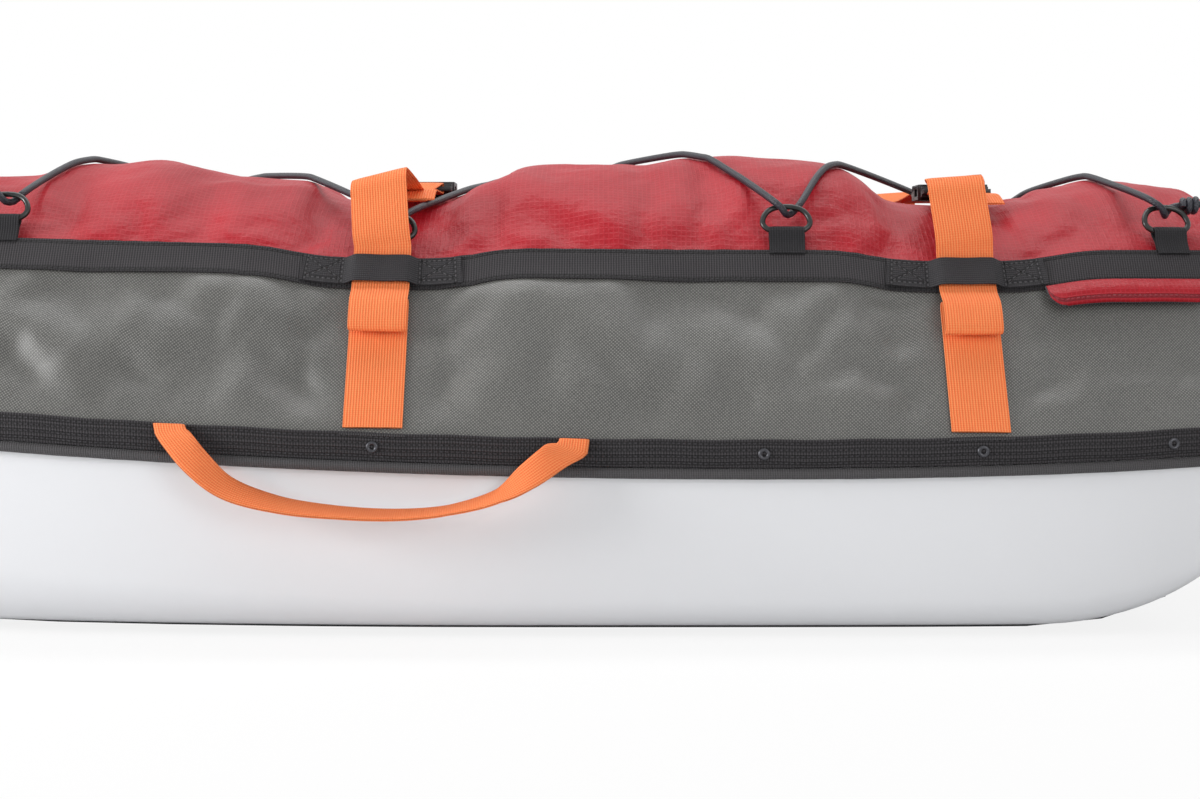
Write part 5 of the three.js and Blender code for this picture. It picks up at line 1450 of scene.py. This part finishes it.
for strap_name in STRAPS:
    eased_copy(f"buckle_socket_{strap_name}", "buckle", "sled", SOCKET_EASE)
    eased_copy(f"buckle_tongue_{strap_name}", "buckle", f"tongue_body_{strap_name}",
               TONGUE_EASE)
for side_name, side in SIDES:
    eased_copy(f"tow_clevis_{side_name}", "bracket", "sled", CLEVIS_EASE)
    eased_copy(f"tow_pin_{side_name}", "steel", f"pin_body_{side_name}", PIN_EASE)

# D-rings on their tabs
RING_WIDTH = 0.038
RING_HEIGHT = 0.02
RING_WIRE = 0.002
RING_LEAN = math.radians(28)
RING_SIDES = 14
RING_FOOT_STEPS = 8
RING_BOW_STEPS = 40
RING_BOW_POWER = 0.8
RING_PASSES = 3
TAB_WIDTH = 0.025
TAB_T = 0.0014
TAB_HEIGHT = 0.014
TAB_TUCK = 0.004
TAB_NECK_SHARE = 0.45
TAB_TURN_STEPS = 6
TAB_PITCH = 0.0012
CORD_RADIUS = 0.0025


def tab_frame(side, x):
    wall = wall_frame(side, x, 1, TAB_WIDTH / 2)
    foot = at(wall, 0, 0, GAP + COVER_T + 2 * GAP + TAB_T + GAP / 2)
    along = Vector((wall["along"].x, wall["along"].y, 0)).normalized()
    outward_way = along.cross(UP) * -side
    up = UP * math.cos(RING_LEAN) - outward_way * math.sin(RING_LEAN)
    out = along.cross(up) * -side
    return {"origin": foot, "along": along, "up": up, "out": out}


def make_tab(place, number):
    turn = RING_WIRE + GAP + TAB_T / 2
    foot = TAB_T / 2 + GAP / 2
    rows = [(GAP - TAB_TUCK, -foot), (TAB_HEIGHT * TAB_NECK_SHARE, -foot)]
    for step in range(TAB_TURN_STEPS + 1):
        angle = math.pi * step / TAB_TURN_STEPS
        rows.append((TAB_HEIGHT + turn * math.sin(angle), -turn * math.cos(angle)))
    rows += [(TAB_HEIGHT * TAB_NECK_SHARE, foot), (GAP - TAB_TUCK, foot)]
    points = [at(place, 0, up, out) for up, out in rows]
    piece = band(f"tab_{number}", points, [place["along"]] * len(points), TAB_WIDTH, TAB_T, "tab",
                 pitch=TAB_PITCH)
    return finish_piece(piece, replaced=(f"ring_tab_{number}",))


def make_ring(place, number):
    half = RING_WIDTH / 2 - RING_WIRE
    corner = 2 * RING_WIRE
    path = []
    for step in range(RING_FOOT_STEPS + 1):
        path.append((-half + corner + (2 * half - 2 * corner) * step / RING_FOOT_STEPS, 0))
    for step in range(RING_BOW_STEPS + 1):
        angle = math.pi * step / RING_BOW_STEPS
        rise = math.sin(angle) ** RING_BOW_POWER * (RING_HEIGHT - corner)
        reach = abs(math.cos(angle)) ** RING_BOW_POWER
        path.append((math.copysign(half * reach, math.cos(angle)), corner + rise))
    points = [at(place, along, TAB_HEIGHT + up, 0) for along, up in path]
    ring = tube(f"ring_{number}", relaxed(points), RING_WIRE, RING_SIDES, "wire", closed=True)
    return finish_piece(ring, f"ring_body_{number}", (f"d_ring_{number}",))


def relaxed(points):
    for _ in range(RING_PASSES):
        points = [(points[place - 1] + points[place] * 2 + points[(place + 1) % len(points)]) / 4
                  for place in range(len(points))]
    return points


rings = sorted(({"x": share * LENGTH, "side": side, "frame": tab_frame(side, share * LENGTH)}
                for share, side in RING_SHARES), key=lambda ring: ring["x"])
for number, ring in enumerate(rings, 1):
    make_tab(ring["frame"], number)
    make_ring(ring["frame"], number)

# Lashing cord, taut over the load from ring to ring
CORD_LIFT = 0.0006
CORD_SAMPLES = 80
CORD_TAIL = 0.026
CORD_PITCH = 0.009
CORD_STEP = 0.0035
CORD_SIDES = 12
CORD_CLEAR = 0.0003
# The cord's course round a ring's top: along it, up and out, in shares of the clear distance
CORD_WRAP_SHARES = ((-1.9, 0.5, 0.9), (-0.8, -0.65, 1.02), (0, -1.25, 0),
                    (0.8, -0.65, -1.02), (1.9, 0.5, -0.9))
# Two heights over a ring's top, the first close to it and the second farther off
CORD_FIRM = 0.003
CORD_LOOSE = 0.026
KNOT_TURNS = 2.3
KNOT_STEPS = 60
KNOT_LENGTH = 0.0105
KNOT_REACH = 1.7
KNOT_THINNING = 0.94


def cord_wrap(place):
    top = TAB_HEIGHT + RING_HEIGHT
    clear = RING_WIRE + CORD_RADIUS + CORD_CLEAR
    return [at(place, along * clear, top + up * clear, out * clear) for along, up, out in CORD_WRAP_SHARES]


def cord_span(start, end):
    taut = []
    for step in range(CORD_SAMPLES + 1):
        share = step / CORD_SAMPLES
        point = start.lerp(end, share)
        if 0 < step < CORD_SAMPLES:
            point.z = max(point.z, cloth_height(point.x, point.y) + CORD_RADIUS + CORD_LIFT)
        while len(taut) > 1:
            before, here = taut[-2:]
            rise = (here[1].z - before[1].z) * (share - before[0])
            if rise > (point.z - before[1].z) * (here[0] - before[0]):
                break
            taut.pop()
        taut.append((share, point))
    return [point for _, point in taut[1:-1]]


def make_cord():
    wraps = [cord_wrap(ring["frame"]) for ring in rings]
    path = [wraps[0][0] + Vector((-CORD_TAIL, 0, CORD_RADIUS))]
    for place, wrap in enumerate(wraps):
        path += wrap
        if place + 1 < len(wraps):
            last = wrap[-1]
            for point in cord_span(wrap[-1], wraps[place + 1][0]):
                if (point - last).length > CORD_PITCH and (point - wraps[place + 1][0]).length > CORD_PITCH:
                    path.append(point)
                    last = point
    path.append(wraps[-1][-1] + Vector((CORD_TAIL, 0, CORD_RADIUS)))
    cord_runs(smooth_path(path, CORD_STEP))
    make_knot("bow_knot", path[1], path[0], 1)
    make_knot("stern_knot", path[-2], path[-1], len(rings))


def cord_runs(path):
    """The cord in one run for each ring, cut halfway between rings."""
    skin = tube_rings(path, CORD_RADIUS, CORD_SIDES)
    lengths = running((after - before).length for before, after in zip(path, path[1:]))
    top = TAB_HEIGHT + RING_HEIGHT
    tops = [at(ring["frame"], 0, top, 0) for ring in rings]
    near = [min(range(len(path)), key=lambda index: (path[index] - place).length) for place in tops]
    cuts = [0] + [(before + after) // 2 for before, after in zip(near, near[1:])] + [len(path) - 1]
    for number, (first, last) in enumerate(zip(cuts, cuts[1:]), 1):
        run = swept(f"lashing_{number}", skin[first:last + 1], "cord", lengths[first:last + 1],
                    smooth=ROUND_SMOOTH)
        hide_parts("lashing_cord")
        follow_ring(run, number)


def follow_ring(piece, number):
    """Bakes a piece of the cord's place into its points."""
    place = rings[number - 1]["frame"]
    top = TAB_HEIGHT + RING_HEIGHT
    at(place, 0, top + CORD_LOOSE, 0)
    at(place, 0, top + CORD_FIRM, 0)
    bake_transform(piece)


def make_knot(name, start, end, number):
    """Turns of the cord round its own tail."""
    way = (end - start).normalized()
    side = way.cross(UP).normalized()
    lift = side.cross(way)
    points = []
    for step in range(KNOT_STEPS + 1):
        turn = 2 * math.pi * KNOT_TURNS * step / KNOT_STEPS
        along = KNOT_LENGTH * (step / KNOT_STEPS - 0.5)
        place = start.lerp(end, 0.5) + way * along
        points.append(place + (side * math.cos(turn) + lift * math.sin(turn)) * KNOT_REACH * CORD_RADIUS)
    knot = tube(name, points, CORD_RADIUS * KNOT_THINNING, CORD_SIDES, "cord")
    follow_ring(knot, number)


make_cord()

# Carry handles
HANDLE_WIDTH = 0.02
HANDLE_T = 0.0022
HANDLE_SPAN = 0.27
HANDLE_SAG = 0.054
HANDLE_STAND = 0.0125
HANDLE_STAND_SHARE = 0.3
HANDLE_TWIST = math.radians(72)
HANDLE_X_SHARES = (-1, -0.99, -0.94, -0.847, -0.709, -0.453, -0.158, 0.138, 0.384, 0.63, 0.778, 0.91, 0.99, 1)
HANDLE_DROP_SHARES = (0, 0.06, 0.2, 0.45, 0.73, 0.92, 0.99, 0.99, 0.91, 0.71, 0.45, 0.2, 0.08, 0)
HANDLE_TWIST_SHARES = (0, 0.01, 0.12, 0.36, 0.64, 0.88, 1, 1.04, 1.08, 0.95, 0.4, 0.02, 0, 0)


def make_handle(side_name, side):
    seat = BAND_D + BAND_T + GAP + HANDLE_T / 2
    ends = [Vector((x, side * (half_breadth(x) + seat), sheer(x) - GAP))
            for x in (-HANDLE_SPAN / 2, HANDLE_SPAN / 2)]
    out = Vector((0, side, 0))
    points = []
    for share, drop in zip(HANDLE_X_SHARES, HANDLE_DROP_SHARES):
        point = ends[0].lerp(ends[1], (share + 1) / 2)
        point.z -= HANDLE_SAG * drop
        points.append(point + out * HANDLE_STAND * min(1, drop / HANDLE_STAND_SHARE))
    widths = []
    for tangent, share in zip(tangents(points), HANDLE_TWIST_SHARES):
        across = out.cross(tangent).normalized() * -side
        widths.append(across * math.cos(HANDLE_TWIST * share) - out * math.sin(HANDLE_TWIST * share))
    line = (ends[1] - ends[0]).normalized()
    piece = band(f"handle_{side_name}_web", points, widths, HANDLE_WIDTH, HANDLE_T, "handle", line=line)
    return finish_piece(piece, f"handle_body_{side_name}", (f"handle_{side_name}",))


for side_name, side in SIDES:
    make_handle(side_name, side)

# Pocket flap: a cloth tongue with a rounded corner and a dark binding
FLAP_SHARES = (0.358, 0.446)
FLAP_HEIGHT = 0.019
FLAP_T = 0.0012
FLAP_TOP_D = 0.0058
FLAP_BELLY = 0.005
FLAP_CORNER = 0.012
FLAP_START_SHARE = 0.34
FLAP_COLUMNS = 90
FLAP_ROWS = 14
FLAP_SPREAD = 1.3
FLAP_SIDE_STEPS = 6
FLAP_RIPPLE = 0.0009
# The ripple's scale along the flap and down it
FLAP_RIPPLE_SCALES = (55, 40)
# The belly is a stretch of a sine: share of the half turn at the lower edge, and how full it is
FLAP_BELLY_TURN = 0.75
FLAP_BELLY_FILL = 0.98
BINDING_RADIUS = 0.0009
BINDING_SIDES = 8
BINDING_STEP = 0.0015


def flap_point(x, drop, extra=0.0):
    """A point of the flap at a drop below the trim."""
    slope = wall_frame(PORT, x, 0.5)["slope"]
    top = slope - TRIM_WIDTH - 2 * GAP
    share = drop / FLAP_HEIGHT
    peak = math.sin(math.pi * FLAP_BELLY_TURN / 2)
    belly = math.sin(math.pi * FLAP_BELLY_TURN * share) / peak * FLAP_BELLY_FILL
    bulge = FLAP_BELLY * (belly if share < 1 else 0.5)
    along, down = FLAP_RIPPLE_SCALES
    ripple = FLAP_RIPPLE * noise.noise(Vector((x * along, drop * down, 0))) * share
    place = wall_frame(PORT, x, (top - drop) / slope, STRAP_WIDTH)
    return at(place, 0, 0, FLAP_TOP_D + min(bulge, FLAP_BELLY) + ripple + extra)


def flap_edge(away):
    """How far the flap hangs down at a distance from its bow end."""
    share = min(1, away / FLAP_CORNER)
    return FLAP_HEIGHT * (FLAP_START_SHARE + (1 - FLAP_START_SHARE) * math.sqrt(1 - (1 - share) ** 2))


def make_flap():
    start, end = (share * LENGTH for share in FLAP_SHARES)
    points = []
    uvs = []
    edge = []
    for column in range(FLAP_COLUMNS + 1):
        away = (end - start) * (column / FLAP_COLUMNS) ** FLAP_SPREAD
        hang = flap_edge(away)
        for row in range(FLAP_ROWS + 1):
            drop = hang * row / FLAP_ROWS
            points.append(flap_point(start + away, drop))
            uvs.append((away, hang - drop))
        edge.append(flap_point(start + away, hang, -BINDING_RADIUS / 2))
    faces = quads(FLAP_COLUMNS + 1, FLAP_ROWS + 1, columns_closed=False)
    flap = new_piece("flap", points, faces, "flap", uvs, smooth=CLOTH_SMOOTH)
    apply_modifier(flap, "SOLIDIFY", "wall", thickness=FLAP_T, offset=0)
    finish_piece(flap, "flap_body", ("pocket_flap",))
    corner = FLAP_HEIGHT * FLAP_START_SHARE
    side_edge = [flap_point(start, corner * step / FLAP_SIDE_STEPS, -BINDING_RADIUS / 2)
                 for step in range(FLAP_SIDE_STEPS)]
    path = smooth_path(side_edge + edge, BINDING_STEP)
    binding = tube("flap_binding", path, BINDING_RADIUS, BINDING_SIDES, "bar")
    finish_piece(binding, "flap_body")
    return flap, binding


flap, flap_binding = make_flap()

# Cloth as it was cut: its area before it was hung
def cut_area(first, last):
    """Area of the bag's rows as they were cut, before the load stretched them."""
    rows = bag_rest[first * BAG_COUNT:(last + 1) * BAG_COUNT]
    total = 0.0
    for face in quads(last - first + 1, BAG_COUNT):
        a, b, c, d = (rows[index] for index in face)
        total += ((b - a).cross(c - a).length + (c - a).cross(d - a).length) / 2
    return total


cut_area(0, SEAM_ROW)
cut_area(SEAM_ROW, LAST_ROW)

# Light: a plain pale studio
STUDIO_WHITE = (1.0, 1.0, 1.0, 1.0)
FLOOR_SIZE = 14
FLOOR_COLOUR = (0.9, 0.9, 0.9, 1.0)
FLOOR_ROUGHNESS = 0.9
# How much of the floor's light to the camera is plain white, and how strongly the studio lights the sled
FLOOR_GLOW = 0.86
STUDIO_GLOW = 0.36
# Lamps: name, place, target, size and power
LAMPS = (
    ("overhead", (0.1, 0.35, 1.9), (0.1, -0.1, 0.2), (2.4, 0.6), 22),
    ("left", (-2.2, -0.95, 0.75), (0.0, -0.2, 0.2), (0.8, 0.8), 44),
    ("front right", (1.9, -2.6, 1.0), (0.1, -0.1, 0.2), (1.2, 1.2), 20),
)


def lamp(name, place, target, size, power):
    data = bpy.data.lights.new(name, "AREA")
    data.shape = "RECTANGLE"
    data.size = size[0]
    data.size_y = size[1]
    data.energy = power
    made = new_object(name, data)
    made.location = place
    made.rotation_euler = (Vector(target) - Vector(place)).to_track_quat("-Z", "Y").to_euler()


for lamp_row in LAMPS:
    lamp(*lamp_row)

world = bpy.data.worlds.new("studio")
bpy.context.scene.world = world
world.use_nodes = True
world_any = Shade(world.node_tree, None)
background = world.node_tree.nodes["Background"]
seen = world_any.node("ShaderNodeLightPath", output="Is Camera Ray")
glossy = world_any.node("ShaderNodeLightPath", output="Is Glossy Ray")
clear = world_any.node("ShaderNodeLightPath", output="Is Transmission Ray")
shown = world_any.maths("MINIMUM", seen + glossy + clear, 1.0)
strength = STUDIO_GLOW + shown * (1 - STUDIO_GLOW)
world.node_tree.links.new(strength.socket, background.inputs["Strength"])
background.inputs["Color"].default_value = STUDIO_WHITE

bpy.ops.mesh.primitive_plane_add(size=FLOOR_SIZE, location=(0, 0, 0))
floor = bpy.context.object
floor.name = "studio_floor"
floor_finish = Finish("studio floor")
floor_finish.set(Base_Color=FLOOR_COLOUR, Roughness=FLOOR_ROUGHNESS)
glow = floor_finish.any.node("ShaderNodeEmission", inputs={"Strength": 1.0})
seen_share = floor_finish.any.node("ShaderNodeLightPath", output="Is Camera Ray") * FLOOR_GLOW
lit = Shade(floor_finish.tree, floor_finish.shader.outputs[0])
mixed = floor_finish.any.node("ShaderNodeMixShader", inputs={0: seen_share, 1: lit, 2: glow})
floor_finish.tree.links.new(mixed.socket, floor_finish.tree.nodes["Material Output"].inputs[0])
floor.data.materials.append(floor_finish.material)

# Plain nodes that are shown as they are
PLAIN_NODES = {
    "sole_plate": "sole", "runner_port": "sole", "runner_starboard": "sole",
    "pocket_zip": "keeper", "zip_slider": "steel", "pull_ring_port": "steel", "pull_ring_starboard": "steel",
}
for node, finish in PLAIN_NODES.items():
    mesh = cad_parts[node].data
    mesh.materials.clear()
    mesh.materials.append(FINISHES[finish])
